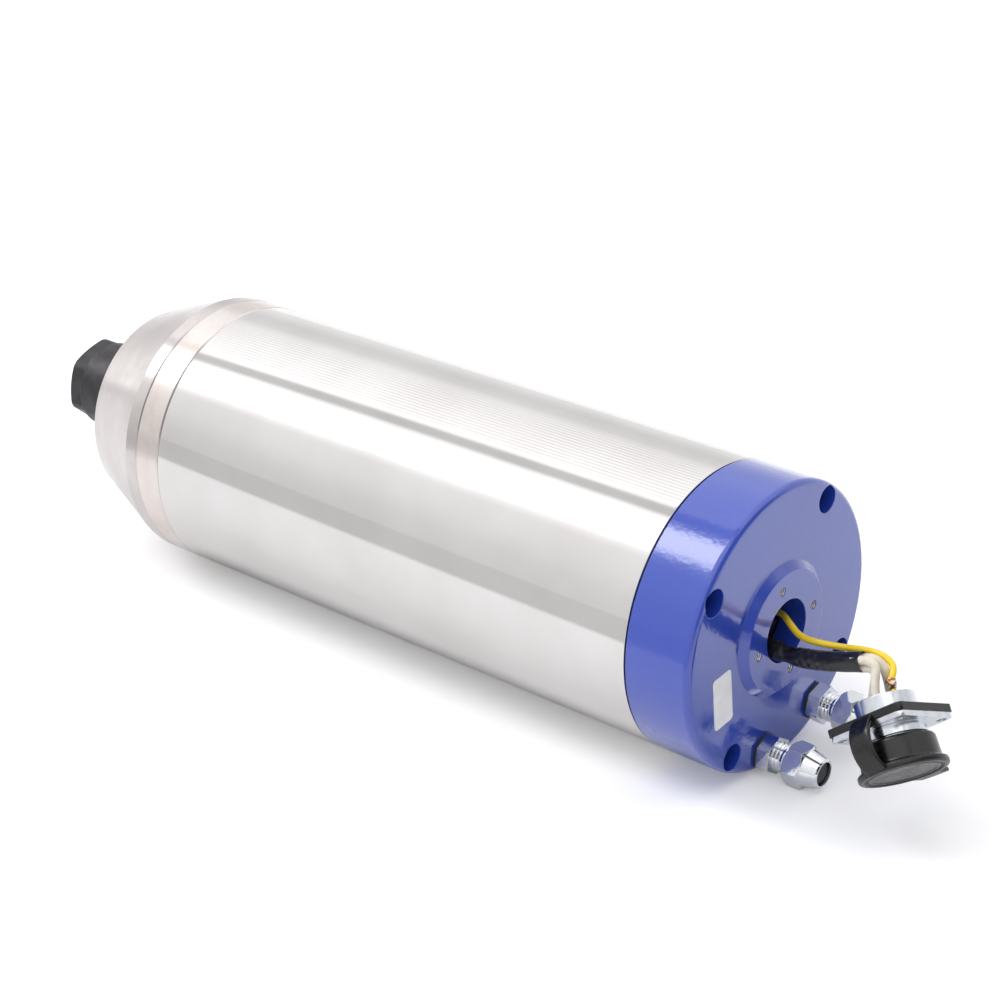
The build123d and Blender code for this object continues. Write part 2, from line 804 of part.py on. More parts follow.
# Collet: slit from both ends, tapered to close on the tool
collet_rear = front_shaft_end + taper_length
collet_rim_front = front_shaft_end - collet_rim_length
collet_cone_length = (collet_rim_radius - collet_face_radius) / math.tan(math.radians(collet_front_angle))
collet_face = collet_rim_front - collet_cone_length
with BuildPart() as collet:
    revolve(
        outline(
            (collet_face, collet_bore_radius),
            (collet_face, collet_face_radius),
            (collet_rim_front, collet_rim_radius),
            (front_shaft_end, collet_rim_radius),
            (collet_rear, collet_tail_radius),
            (collet_rear, collet_bore_radius),
        ),
        axis=Axis.X,
    )
    slit_length = collet_rear - collet_face - 5.0
    with BuildSketch(Plane.YZ.offset(collet_face)):
        with PolarLocations(nut_radius / 2, 4):
            Rectangle(nut_radius, collet_slit_width)
    extrude(amount=slit_length, mode=Mode.SUBTRACT)
    with BuildSketch(Plane.YZ.offset(collet_rear)):
        with PolarLocations(nut_radius / 2, 4, 45):
            Rectangle(nut_radius, collet_slit_width)
    extrude(amount=-slit_length, mode=Mode.SUBTRACT)
save(collet, "collet")

# Collet nut: a hexagon cut on a round body, chamfered at the face
nut_face = collet_face - 2.0
nut_rear = nut_face + nut_length
nut_cone_gap = 0.06
with BuildPart() as collet_nut:
    chamfer_rise = (nut_radius - nut_face_radius) * math.tan(math.radians(30))
    revolve(
        outline(
            (nut_face, collet_face_radius + 0.7),
            (nut_face, nut_face_radius),
            (nut_face + chamfer_rise, nut_radius),
            (nut_rear - 0.4, nut_radius),
            (nut_rear, nut_radius - 0.4),
            (nut_rear, nut_thread_radius + running_gap),
            (front_shaft_end - 0.2, nut_thread_radius + running_gap),
            (front_shaft_end - 0.2, collet_rim_radius + nut_cone_gap),
            (collet_rim_front - nut_cone_gap, collet_rim_radius + nut_cone_gap),
            (collet_face - nut_cone_gap, collet_face_radius + nut_cone_gap),
        ),
        axis=Axis.X,
    )
    with BuildSketch(Plane.YZ.offset(nut_face)):
        Circle(2 * nut_radius)
        RegularPolygon(nut_across_flats / 2, 6, major_radius=False, rotation=nut_hex_turn, mode=Mode.SUBTRACT)
    extrude(amount=nut_hex_length, mode=Mode.SUBTRACT)
save(collet_nut, "collet_nut")


# Water fittings: body, sealing washer, ferrule, compression nut and shipping plug
washer_face = cover_rear + washer_thickness
hex_face = washer_face + fitting_hex_length
stem_end = hex_face + fitting_stem_length
nut_start = hex_face + compression_nut_gap
nut_shoulder = nut_start + compression_hex_length
nut_end = nut_shoulder + compression_cone_length
socket_floor = hex_face - 1.0


def water_fitting(name, angle, hex_turn):
    centre = on_circle(channel_circle_radius, angle)
    axis_line = Axis((0, *centre), (1, 0, 0))
    profile_plane = Plane(origin=(0, *centre), x_dir=(1, 0, 0), z_dir=(0, 0, 1))
    with BuildPart() as body:
        with BuildSketch(Plane.YZ.offset(washer_face)):
            with Locations(centre):
                RegularPolygon(fitting_across_flats / 2, 6, major_radius=False, rotation=hex_turn)
        extrude(amount=fitting_hex_length)
        with BuildSketch(profile_plane):
            with BuildLine():
                Polyline(
                    (cover_rear - fitting_thread_depth, 0),
                    (cover_rear - fitting_thread_depth, fitting_thread_radius),
                    (washer_face, fitting_thread_radius),
                    (washer_face, 0),
                    close=True,
                )
            make_face()
        revolve(axis=axis_line)
        with BuildSketch(profile_plane):
            add(
                thread_outline(
                    hex_face, stem_end, 0, fitting_thread_radius, fitting_thread_height, fitting_thread_pitch
                )
            )
        revolve(axis=axis_line)
        with BuildSketch(Plane.YZ.offset(cover_rear - fitting_thread_depth)):
            with Locations(centre):
                Circle(fitting_bore_radius)
        extrude(amount=stem_end - cover_rear + fitting_thread_depth, mode=Mode.SUBTRACT)
        with BuildSketch(Plane.YZ.offset(socket_floor)):
            with Locations(centre):
                Circle(tube_radius + running_gap)
        extrude(amount=stem_end - socket_floor, mode=Mode.SUBTRACT)
    save(body, f"{name}_fitting_body")

    with BuildPart() as washer:
        with BuildSketch(Plane.YZ.offset(cover_rear)):
            with Locations(centre):
                Circle(fitting_across_flats / 2 + 0.2)
                Circle(fitting_thread_radius + running_gap, mode=Mode.SUBTRACT)
        extrude(amount=washer_thickness)
    save(washer, f"{name}_sealing_washer")

    with BuildPart() as ferrule:
        with BuildSketch(profile_plane):
            with BuildLine():
                Polyline(
                    (stem_end + 0.1, tube_radius + running_gap),
                    (stem_end + 0.1, fitting_thread_radius - 0.4),
                    (stem_end + 0.6, fitting_thread_radius - 0.1),
                    (nut_shoulder - 0.5, fitting_thread_radius - 0.1),
                    (nut_shoulder + 0.9, tube_radius + 0.2),
                    (nut_shoulder + 0.9, tube_radius + running_gap),
                    close=True,
                )
            make_face()
        revolve(axis=axis_line)
    save(ferrule, f"{name}_ferrule")

    with BuildPart() as nut:
        corner = compression_nut_across_flats / 2 / math.cos(math.radians(30))
        flat = compression_nut_across_flats / 2
        with BuildSketch(profile_plane):
            with BuildLine():
                Polyline(
                    (nut_start, fitting_thread_radius + running_gap),
                    (nut_start, flat - 0.3),
                    (nut_start + 1.1, corner),
                    (nut_shoulder - 0.6, corner),
                    (nut_shoulder + 0.2, flat - 0.2),
                    (nut_end - 0.4, compression_face_radius),
                    (nut_end, compression_face_radius - 0.4),
                    (nut_end, compression_mouth_radius),
                    (nut_shoulder + 1.0, compression_mouth_radius),
                    (nut_shoulder - 0.45, fitting_thread_radius + running_gap),
                    close=True,
                )
            make_face()
        revolve(axis=axis_line)
        with BuildSketch(Plane.YZ.offset(nut_start)):
            with Locations(centre):
                Circle(2 * corner)
                RegularPolygon(flat, 6, major_radius=False, rotation=compression_hex_turn, mode=Mode.SUBTRACT)
        extrude(amount=nut_end - nut_start, mode=Mode.SUBTRACT)
    save(nut, f"{name}_compression_nut")

    with BuildPart() as plug:
        with BuildSketch(Plane.YZ.offset(socket_floor)):
            with Locations(centre):
                Circle(tube_radius)
        extrude(amount=nut_end - 0.9 - socket_floor)
        chamfer(plug.edges().group_by(Axis.X)[-1], length=0.2)
    save(plug, f"{name}_shipping_plug")


water_fitting("inlet", port_angles["inlet"], near_hex_turn)
water_fitting("outlet", port_angles["outlet"], far_hex_turn)

# Socket frame: w runs along the socket from the leads to the dust cap, x across the flange
yaw = math.radians(socket_yaw)
pitch = math.radians(socket_pitch)
roll = math.radians(socket_roll)
socket_axis = Vector(math.cos(pitch) * math.cos(yaw), math.cos(pitch) * math.sin(yaw), -math.sin(pitch))
level = Vector(-math.sin(yaw), math.cos(yaw), 0)
rising = socket_axis.cross(level)
across = level * math.cos(roll) + rising * math.sin(roll)
socket_centre = Vector(*socket_place)
socket_plane = Plane(origin=socket_centre, x_dir=across, z_dir=socket_axis)
side_plane = Plane(origin=socket_centre, x_dir=across, z_dir=across.cross(socket_axis))


def socket_point(x, y, w):
    """A point given in the socket's own frame."""
    return socket_plane.from_local_coords(Vector(x, y, w))


def socket_turned(*points):
    """An outline with its points as radius and place along the socket."""
    with BuildSketch(side_plane) as sketch:
        with BuildLine():
            Polyline(*points, close=True)
        make_face()
    return sketch.sketch


socket_line = Axis(socket_centre, socket_axis)
rear_face = -rear_barrel_reach
insulator_rear = -insulator_length
hole_circle = hub_hole_circle

# Metal shell of the socket with its square flange
with BuildPart() as socket_shell:
    with BuildSketch(socket_plane.offset(-flange_thickness)):
        RectangleRounded(flange_side, flange_side, flange_corner_radius)
        with PolarLocations(hole_circle, 4, 45):
            Circle(flange_hole_radius, mode=Mode.SUBTRACT)
    extrude(amount=flange_thickness)
    revolve(
        socket_turned(
            (0, rear_face),
            (rear_barrel_radius, rear_face),
            (rear_barrel_radius, 0),
            (shoulder_radius, 0),
            (shoulder_radius, shoulder_length),
            (socket_barrel_radius, shoulder_length),
            (socket_barrel_radius, socket_barrel_length),
            (0, socket_barrel_length),
        ),
        axis=socket_line,
    )
    with BuildSketch(socket_plane.offset(rear_face)):
        Circle(socket_bore_radius)
    extrude(amount=socket_barrel_length - rear_face, mode=Mode.SUBTRACT)
save(socket_shell, "socket_shell")

# Rubber gasket behind the flange
with BuildPart() as flange_gasket:
    with BuildSketch(socket_plane.offset(-flange_thickness - flange_gasket_thickness)):
        RectangleRounded(gasket_side, gasket_side, flange_corner_radius)
        Circle(rear_barrel_radius + seat_gap, mode=Mode.SUBTRACT)
        with PolarLocations(hole_circle, 4, 45):
            Circle(flange_hole_radius, mode=Mode.SUBTRACT)
    extrude(amount=flange_gasket_thickness)
save(flange_gasket, "flange_gasket")

# Insulator and the four contact pins
with BuildPart() as insulator:
    with BuildSketch(socket_plane.offset(insulator_rear)):
        Circle(socket_bore_radius - seat_gap)
        with PolarLocations(pin_circle, 4):
            Circle(pin_radius + seat_gap, mode=Mode.SUBTRACT)
    extrude(amount=insulator_length)
save(insulator, "socket_insulator")
with BuildPart() as pins:
    with BuildSketch(socket_plane.offset(insulator_rear)):
        with PolarLocations(pin_circle, 4):
            Circle(pin_radius)
    extrude(amount=insulator_length + pin_reach)
    with BuildSketch(socket_plane.offset(insulator_rear)):
        with Locations((0, pin_circle)):
            Circle(pin_radius)
    extrude(amount=-earth_pin_reach)
save(pins, "socket_pins")

# Solder joint on the earth pin
solder_base = insulator_rear - earth_pin_reach
with BuildPart() as solder:
    solder_plane = Plane(origin=socket_point(0, pin_circle, 0), x_dir=across, z_dir=side_plane.z_dir)
    with BuildSketch(solder_plane):
        with BuildLine():
            Polyline((0, solder_base - solder_length), (0.7 * solder_radius, solder_base - solder_length))
            ThreePointArc(
                (0.7 * solder_radius, solder_base - solder_length),
                (solder_radius, solder_base - solder_length / 2),
                (0.75 * solder_radius, solder_base),
            )
            Polyline(
                (0.75 * solder_radius, solder_base), (0, solder_base), (0, solder_base - solder_length)
            )
        make_face()
    revolve(axis=Axis(socket_point(0, pin_circle, 0), socket_axis))
save(solder, "earth_solder_joint")

# Rubber dust cap over the socket
cap_inner_radius = socket_barrel_radius + 0.05
cap_outer_radius = cap_inner_radius + cap_wall
cap_floor = cap_end - cap_disc_thickness
with BuildPart() as dust_cap:
    revolve(
        socket_turned(
            (0, cap_floor),
            (cap_inner_radius, cap_floor),
            (cap_inner_radius, cap_mouth),
            (cap_outer_radius - 0.3, cap_mouth),
            (cap_outer_radius, cap_mouth + 0.6),
            (cap_outer_radius + 0.3, cap_floor),
            (cap_disc_radius - 0.3, cap_floor),
            (cap_disc_radius, cap_floor + 0.3),
            (cap_disc_radius, cap_end),
            (0, cap_end),
        ),
        axis=socket_line,
    )
    with BuildSketch(socket_plane.offset(cap_end)):
        with PolarLocations((cap_outer_radius + tab_reach) / 2, 1, tab_angle):
            RectangleRounded(tab_reach - cap_outer_radius, tab_width, 1.5)
    extrude(amount=-tab_thickness)
save(dust_cap, "dust_cap")

# Strap that ties the cap to the gasket, bowed outwards and thick in its middle
strap_end_gap = 0.03
strap_start_x = -gasket_side / 2 - strap_end_gap
strap_end_x = -cap_disc_radius - strap_end_gap
strap_start_w = -flange_thickness - flange_gasket_thickness / 2
strap_end_w = cap_end - cap_disc_thickness / 2
strap_half = strap_thickness / 2
with BuildPart() as cap_strap:
    with BuildSketch(side_plane.offset(-strap_width / 2)):
        with BuildLine():
            outer_line = ThreePointArc(
                (strap_start_x, strap_start_w - strap_half),
                (strap_start_x - strap_bulge - strap_half, (strap_start_w + strap_end_w) / 2),
                (strap_end_x, strap_end_w + strap_half),
            )
            inner_line = ThreePointArc(
                (strap_start_x, strap_start_w + strap_half),
                (strap_start_x - strap_bulge + strap_half, (strap_start_w + strap_end_w) / 2),
                (strap_end_x, strap_end_w - strap_half),
            )
            Line(outer_line @ 0, inner_line @ 0)
            Line(outer_line @ 1, inner_line @ 1)
        make_face()
    extrude(amount=strap_width)
save(cap_strap, "cap_strap")

# Leads. The winding leads run in a glass sleeve to the cable bore, then in a black sleeve
sleeve_route = [
    (100.4, -3.1, -4.1),
    (105.2, -3.7, -4.2),
    (110.6, -4.4, -3.8),
    (116.0, -4.7, -3.1),
    (122.4, -4.8, -1.6),
    (128.6, -4.9, 0.2),
    (134.0, -4.4, 1.9),
]
save(lead_part(sleeve_route, sleeve_radius, "lead_sleeve"), "lead_sleeve")
sleeve_start = Vector(*sleeve_route[0])
sleeve_start_direction = (Vector(*sleeve_route[1]) - sleeve_start).normalized()
winding_end = Vector(rear_housing_start + 1.0, lead_y, lead_z)
inner_route = eased(
    winding_end, Vector(1, 0, 0), rear_housing_length, sleeve_start, sleeve_start_direction, 2.2, 6.0, 4
)
save(lead_part(inner_route, inner_sleeve_radius, "winding_lead_sleeve"), "winding_lead_sleeve")

# Three phase leads from the mouth of the black sleeve to the socket pins
mouth = Vector(*sleeve_route[-1])
mouth_direction = (mouth - Vector(*sleeve_route[-2])).normalized()
mouth_plane = Plane(origin=mouth, x_dir=Vector(0, 0, 1).cross(mouth_direction), z_dir=mouth_direction)
phases = {
    "u": {"pin": (pin_circle, 0), "start_angle": 20.0, "reach": 4.4},
    "v": {"pin": (-pin_circle, 0), "start_angle": 140.0, "reach": 4.8},
    "w": {"pin": (0, -pin_circle), "start_angle": 260.0, "reach": 3.6},
}
for phase, lead in phases.items():
    side, height = on_circle(lead_spread, lead["start_angle"])
    start = mouth_plane.from_local_coords(Vector(side, height, 0))
    end = socket_point(*lead["pin"], insulator_rear)
    route = eased(start, mouth_direction, 2.2, end, socket_axis, 2.0, lead["reach"], 3)
    save(lead_part(route, lead_radius, f"phase_lead_{phase}"), f"phase_lead_{phase}")

# Earth wire from its terminal to the soldered pin, its end sunk in the solder
earth_end = socket_point(0, pin_circle, solder_base - 0.7 * solder_length)
earth_route = [
    (terminal_face + terminal_thickness + 3.0, barrel_y, barrel_z),
    (93.4, barrel_y, barrel_z),
    (97.2, 7.4, -0.5),
    (102.4, 6.2, 1.0),
    (107.6, 2.0, 1.3),
    (113.4, -1.5, 0.5),
    (119.8, -1.6, 1.0),
    (125.8, -0.2, 1.4),
    (131.4, -0.2, 2.8),
    (136.2, -0.3, 3.4),
    (139.4, -0.4, 2.6),
    (141.4, -1.2, 1.0),
    tuple(earth_end),
]
save(lead_part(earth_route, earth_wire_radius, "earth_wire"), "earth_wire")
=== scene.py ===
import math

import bmesh
import bpy
import numpy as np
from bpy.props import FloatProperty, FloatVectorProperty, IntProperty, PointerProperty
from mathutils import Matrix, Vector


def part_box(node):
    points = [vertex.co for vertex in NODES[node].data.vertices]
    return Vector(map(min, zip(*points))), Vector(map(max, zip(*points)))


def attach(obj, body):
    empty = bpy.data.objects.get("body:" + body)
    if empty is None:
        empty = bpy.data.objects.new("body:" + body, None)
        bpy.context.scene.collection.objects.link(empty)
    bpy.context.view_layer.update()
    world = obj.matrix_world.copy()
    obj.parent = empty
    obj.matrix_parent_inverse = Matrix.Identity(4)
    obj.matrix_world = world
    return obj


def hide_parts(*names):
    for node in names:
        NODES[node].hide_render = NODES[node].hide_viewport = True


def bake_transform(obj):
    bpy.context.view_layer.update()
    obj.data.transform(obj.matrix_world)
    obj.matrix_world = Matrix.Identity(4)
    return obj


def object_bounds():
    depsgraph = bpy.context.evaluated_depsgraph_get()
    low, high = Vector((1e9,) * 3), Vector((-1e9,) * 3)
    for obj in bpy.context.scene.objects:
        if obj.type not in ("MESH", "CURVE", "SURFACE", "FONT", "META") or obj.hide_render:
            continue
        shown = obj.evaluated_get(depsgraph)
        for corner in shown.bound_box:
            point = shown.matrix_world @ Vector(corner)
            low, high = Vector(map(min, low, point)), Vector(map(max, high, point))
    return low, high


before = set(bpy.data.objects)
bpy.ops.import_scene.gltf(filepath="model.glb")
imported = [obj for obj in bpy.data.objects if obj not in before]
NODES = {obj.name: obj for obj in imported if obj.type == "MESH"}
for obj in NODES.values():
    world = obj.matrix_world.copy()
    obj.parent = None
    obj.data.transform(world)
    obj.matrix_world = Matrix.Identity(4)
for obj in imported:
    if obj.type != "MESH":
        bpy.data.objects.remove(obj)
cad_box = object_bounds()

bl_info = {
    "name": "Motor Spindle Dresser",
    "version": (1, 0, 0),
    "blender": (4, 5, 0),
    "location": "View3D > Sidebar > Spindle",
    "description": "Gives a water-cooled motor spindle its finishes, soft parts, leads and studio",
    "category": "Object",
}

MM = 0.001
MERGE_DISTANCE = 0.002 * MM


# Colours and nodes

def srgb(text):
    """Linear RGBA of an sRGB hex colour: each channel below 0.04045 over 12.92, else a 2.4 power."""
    levels = [int(text[i:i + 2], 16) / 255 for i in (1, 3, 5)]
    return tuple(v / 12.92 if v <= 0.04045 else ((v + 0.055) / 1.055) ** 2.4 for v in levels) + (1.0,)


def add_node(tree, kind, inputs=None, stops=(), **settings):
    """Add a node, set its own properties, and feed each input with a value, a node or a socket.
    A colour ramp's stops are each a place from 0 to 1 and a grey level or a hex colour."""
    item = tree.nodes.new(kind)
    for name, value in settings.items():
        setattr(item, name, value)
    for name, value in (inputs or {}).items():
        if isinstance(value, bpy.types.Node):
            tree.links.new(value.outputs[0], item.inputs[name])
        elif isinstance(value, bpy.types.NodeSocket):
            tree.links.new(value, item.inputs[name])
        else:
            item.inputs[name].default_value = value
    for index, (place, value) in enumerate(stops):
        elements = item.color_ramp.elements
        element = elements[index] if index < len(elements) else elements.new(1.0)
        element.position = place
        element.color = srgb(value) if isinstance(value, str) else (value, value, value, 1.0)
    return item


def new_material(name, **sockets):
    """A material with one Principled shader; sockets are its constant inputs, with _ for spaces."""
    material = bpy.data.materials.new(name)
    material.use_nodes = True
    tree = material.node_tree
    shader = tree.nodes["Principled BSDF"]
    for key, value in sockets.items():
        shader.inputs[key.replace("_", " ")].default_value = value
    return material, tree, shader


def object_point(tree, scale=(1, 1, 1)):
    """The surface point in metres, stretched by a scale for each axis."""
    source = add_node(tree, "ShaderNodeTexCoord")
    return add_node(tree, "ShaderNodeMapping", {"Vector": source.outputs["Object"], "Scale": scale})


def noise(tree, per_mm, stretch=(1, 1, 1), detail=3.0, roughness=0.5):
    """Noise with about per_mm cells in each millimetre, before the stretch."""
    point = object_point(tree, [per_mm / MM * share for share in stretch])
    inputs = {"Vector": point, "Scale": 1.0, "Detail": detail, "Roughness": roughness}
    return add_node(tree, "ShaderNodeTexNoise", inputs)


def edge_mask(tree, radius_mm, gain):
    """1 at worn edges and 0 on faces: how far the softened normal leaves the true one."""
    soft = add_node(tree, "ShaderNodeBevel", {"Radius": radius_mm * MM}, samples=4)
    true = add_node(tree, "ShaderNodeNewGeometry")
    agree = add_node(
        tree, "ShaderNodeVectorMath", {0: soft, 1: true.outputs["Normal"]}, operation="DOT_PRODUCT"
    )
    away = add_node(tree, "ShaderNodeMath", {0: 1.0, 1: agree.outputs["Value"]}, operation="SUBTRACT")
    return add_node(tree, "ShaderNodeMath", {0: away, 1: gain}, operation="MULTIPLY", use_clamp=True)


def feed(tree, shader, **sockets):
    """Link nodes or sockets to the shader's inputs, named with _ for spaces."""
    for key, value in sockets.items():
        source = value.outputs[0] if isinstance(value, bpy.types.Node) else value
        tree.links.new(source, shader.inputs[key.replace("_", " ")])


# Materials

def polished_barrel_steel(look):
    # Stainless tube, centreless ground and polished: long mirror bands with a faint cross grain
    material, tree, shader = new_material("polished_barrel_steel", Metallic=1.0)
    cloud = noise(tree, 0.035, (1, 1, 1), 4)
    tone = add_node(tree, "ShaderNodeValToRGB", {"Fac": cloud}, stops=[(0.3, "#D6D3D2"), (0.7, "#DFDDDC")])
    grain = noise(tree, 3.0, (1, 0.03, 0.03), 3)
    smear = noise(tree, 0.12, (1.0, 0.12, 0.12), 4)
    rough = add_node(tree, "ShaderNodeValToRGB", {"Fac": smear}, stops=[(0.3, 0.05), (0.7, 0.085)])
    feed(
        tree, shader,
        Base_Color=tone,
        Roughness=rough,
        Normal=add_node(tree, "ShaderNodeBump", {"Height": grain, "Distance": 0.0012 * MM}),
    )
    return material


def turned_ring_steel(look):
    # Finely turned steel with a warm stain from handling oil, and hair lines round the axis
    material, tree, shader = new_material("turned_ring_steel", Metallic=1.0)
    stain = noise(tree, 0.09, (1, 1, 1), 6, roughness=0.65)
    tone = add_node(
        tree, "ShaderNodeValToRGB", {"Fac": stain},
        stops=[(0.3, "#D6CAC5"), (0.5, "#DFD6D2"), (0.7, "#E3DDDA")],
    )
    lines = noise(tree, 9.0, (1, 0.02, 0.02), 2)
    rough = add_node(tree, "ShaderNodeValToRGB", {"Fac": stain}, stops=[(0.3, 0.24), (0.7, 0.17)])
    soft = add_node(tree, "ShaderNodeBevel", {"Radius": 0.15 * MM}, samples=4)
    feed(
        tree, shader,
        Base_Color=tone,
        Roughness=rough,
        Normal=add_node(tree, "ShaderNodeBump", {"Height": lines, "Distance": 0.002 * MM, "Normal": soft}),
    )
    return material


def nose_aluminium(look):
    # Satin turned nose: softer reflections, lathe rings and a little grey bloom
    material, tree, shader = new_material("nose_aluminium", Metallic=1.0)
    bloom = noise(tree, 0.06, (1, 1, 1), 5, roughness=0.6)
    tone = add_node(tree, "ShaderNodeValToRGB", {"Fac": bloom}, stops=[(0.3, "#C6BFBE"), (0.7, "#D6D0CF")])
    lines = noise(tree, 6.0, (1, 0.015, 0.015), 2)
    rough = add_node(tree, "ShaderNodeValToRGB", {"Fac": bloom}, stops=[(0.3, 0.22), (0.7, 0.15)])
    soft = add_node(tree, "ShaderNodeBevel", {"Radius": 0.2 * MM}, samples=4)
    feed(
        tree, shader,
        Base_Color=tone,
        Roughness=rough,
        Normal=add_node(tree, "ShaderNodeBump", {"Height": lines, "Distance": 0.003 * MM, "Normal": soft}),
    )
    return material


def blue_enamel(look):
    # Stoved enamel sprayed on cast aluminium: wet gloss over orange peel, thinner on the edges
    material, tree, shader = new_material(
        "blue_enamel", Roughness=0.16, IOR=1.5, Coat_Weight=1.0, Coat_Roughness=0.05, Coat_IOR=1.55
    )
    cloud = noise(tree, 0.05, (1, 1, 1), 3)
    deep = tuple(look.enamel_colour) + (1.0,)
    base = add_node(
        tree,
        "ShaderNodeMix",
        {0: cloud, 6: deep, 7: tuple(0.86 * v for v in look.enamel_colour) + (1.0,)},
        data_type="RGBA",
    ).outputs[2]
    worn = edge_mask(tree, 0.35, 1.6)
    tone = add_node(
        tree, "ShaderNodeMix", {0: worn, 6: base, 7: srgb("#4C66CE")}, data_type="RGBA"
    ).outputs[2]
    peel = noise(tree, 0.75, (1, 1, 1), 2)
    fine = noise(tree, 3.2, (1, 1, 1), 2)
    soft = add_node(tree, "ShaderNodeBevel", {"Radius": 0.35 * MM}, samples=4)
    under = add_node(tree, "ShaderNodeBump", {"Height": peel, "Distance": 0.04 * MM, "Normal": soft})
    feed(
        tree, shader,
        Base_Color=tone,
        Normal=add_node(tree, "ShaderNodeBump", {"Height": fine, "Distance": 0.003 * MM, "Normal": under}),
        Coat_Normal=under,
    )
    return material


def black_oxide_steel(look):
    # Blackened tool steel: a dull satin skin, rubbed to grey along the edges
    material, tree, shader = new_material("black_oxide_steel", Metallic=0.55, Specular_IOR_Level=0.6)
    cloud = noise(tree, 0.25, (1, 1, 1), 4)
    tone = add_node(tree, "ShaderNodeValToRGB", {"Fac": cloud}, stops=[(0.3, "#2E2C2F"), (0.7, "#3B393C")])
    worn = edge_mask(tree, 0.25, 1.3)
    rough = add_node(tree, "ShaderNodeValToRGB", {"Fac": cloud}, stops=[(0.3, 0.5), (0.7, 0.4)])
    grit = noise(tree, 7.0, (1, 1, 1), 2)
    soft = add_node(tree, "ShaderNodeBevel", {"Radius": 0.3 * MM}, samples=4)
    feed(
        tree, shader,
        Base_Color=add_node(
            tree, "ShaderNodeMix", {0: worn, 6: tone.outputs[0], 7: srgb("#716F73")}, data_type="RGBA"
        ).outputs[2],
        Roughness=rough,
        Normal=add_node(tree, "ShaderNodeBump", {"Height": grit, "Distance": 0.005 * MM, "Normal": soft}),
    )
    return material


def ground_steel(look):
    # Hardened and ground bearing steel: bright, with grinding lines round the axis
    material, tree, shader = new_material("ground_steel", Metallic=1.0)
    lines = noise(tree, 8.0, (1, 0.02, 0.02), 2)
    tone = add_node(tree, "ShaderNodeValToRGB", {"Fac": lines}, stops=[(0.3, "#C4C3C3"), (0.7, "#D2D1D1")])
    rough = add_node(tree, "ShaderNodeValToRGB", {"Fac": lines}, stops=[(0.3, 0.22), (0.7, 0.14)])
    soft = add_node(tree, "ShaderNodeBevel", {"Radius": 0.15 * MM}, samples=4)
    feed(
        tree, shader,
        Base_Color=tone,
        Roughness=rough,
        Normal=add_node(tree, "ShaderNodeBump", {"Height": lines, "Distance": 0.002 * MM, "Normal": soft}),
    )
    return material


def bright_chrome(look):
    # Chrome on brass: a hard mirror, slightly wavy from polishing, with rougher specks scattered over it
    material, tree, shader = new_material("bright_chrome", Metallic=1.0)
    wave = noise(tree, 0.5, (1, 1, 1), 2)
    tone = add_node(tree, "ShaderNodeValToRGB", {"Fac": wave}, stops=[(0.3, "#DDE0E6"), (0.7, "#E9EBEF")])
    speck = noise(tree, 2.5, (1, 1, 1), 5, roughness=0.7)
    rough = add_node(tree, "ShaderNodeValToRGB", {"Fac": speck}, stops=[(0.45, 0.04), (0.7, 0.14)])
    soft = add_node(tree, "ShaderNodeBevel", {"Radius": 0.18 * MM}, samples=4)
    feed(
        tree, shader,
        Base_Color=tone,
        Roughness=rough,
        Normal=add_node(tree, "ShaderNodeBump", {"Height": wave, "Distance": 0.02 * MM, "Normal": soft}),
    )
    return material


def zinc_plate(look):
    # Bright zinc plate: bluish silver, cloudy, with small pits from the casting
    material, tree, shader = new_material("zinc_plate", Metallic=1.0)
    cloud = noise(tree, 0.5, (1, 1, 1), 4)
    tone = add_node(
        tree, "ShaderNodeValToRGB", {"Fac": cloud},
        stops=[(0.3, "#CDD2D9"), (0.5, "#D6DAE0"), (0.7, "#DEE1E6")],
    )
    rough = add_node(tree, "ShaderNodeValToRGB", {"Fac": cloud}, stops=[(0.3, 0.24), (0.7, 0.15)])
    pits = noise(tree, 1.2, (1, 1, 1), 2, roughness=0.5)
    soft = add_node(tree, "ShaderNodeBevel", {"Radius": 0.2 * MM}, samples=4)
    feed(
        tree, shader,
        Base_Color=tone,
        Roughness=rough,
        Normal=add_node(tree, "ShaderNodeBump", {"Height": pits, "Distance": 0.004 * MM, "Normal": soft}),
    )
    return material


def moulded_rubber(name, dark, light, roughness, depth_mm):
    # Moulded rubber: matt skin with a fine spark-eroded grain, dusty on the high spots
    material, tree, shader = new_material(name, Specular_IOR_Level=0.5)
    cloud = noise(tree, 0.2, (1, 1, 1), 5, roughness=0.6)
    tone = add_node(tree, "ShaderNodeValToRGB", {"Fac": cloud}, stops=[(0.35, dark), (0.7, light)])
    dusty = edge_mask(tree, 0.3, 0.25)
    rough = add_node(
        tree, "ShaderNodeValToRGB", {"Fac": cloud}, stops=[(0.3, roughness - 0.06), (0.7, roughness + 0.08)]
    )
    grain = noise(tree, 4.0, (1, 1, 1), 3)
    soft = add_node(tree, "ShaderNodeBevel", {"Radius": 0.25 * MM}, samples=4)
    feed(
        tree, shader,
        Base_Color=add_node(
            tree, "ShaderNodeMix", {0: dusty, 6: tone.outputs[0], 7: srgb("#343438")}, data_type="RGBA"
        ).outputs[2],
        Roughness=rough,
        Normal=add_node(
            tree, "ShaderNodeBump", {"Height": grain, "Distance": depth_mm * MM, "Normal": soft}
        ),
    )
    return material


def black_rubber(look):
    return moulded_rubber("black_rubber", "#0C0C0E", "#151517", 0.26, 0.004)


def grey_rubber(look):
    return moulded_rubber("grey_rubber", "#232326", "#303034", 0.5, 0.006)


def nitrile_gasket(look):
    return moulded_rubber("nitrile_gasket", "#2A2B20", "#3A3A2B", 0.5, 0.004)


def insulator_polymer(look):
    return moulded_rubber("insulator_polymer", "#24211F", "#322D29", 0.35, 0.003)


def cage_polymer(look):
    return moulded_rubber("cage_polymer", "#9A7440", "#B08A52", 0.42, 0.004)


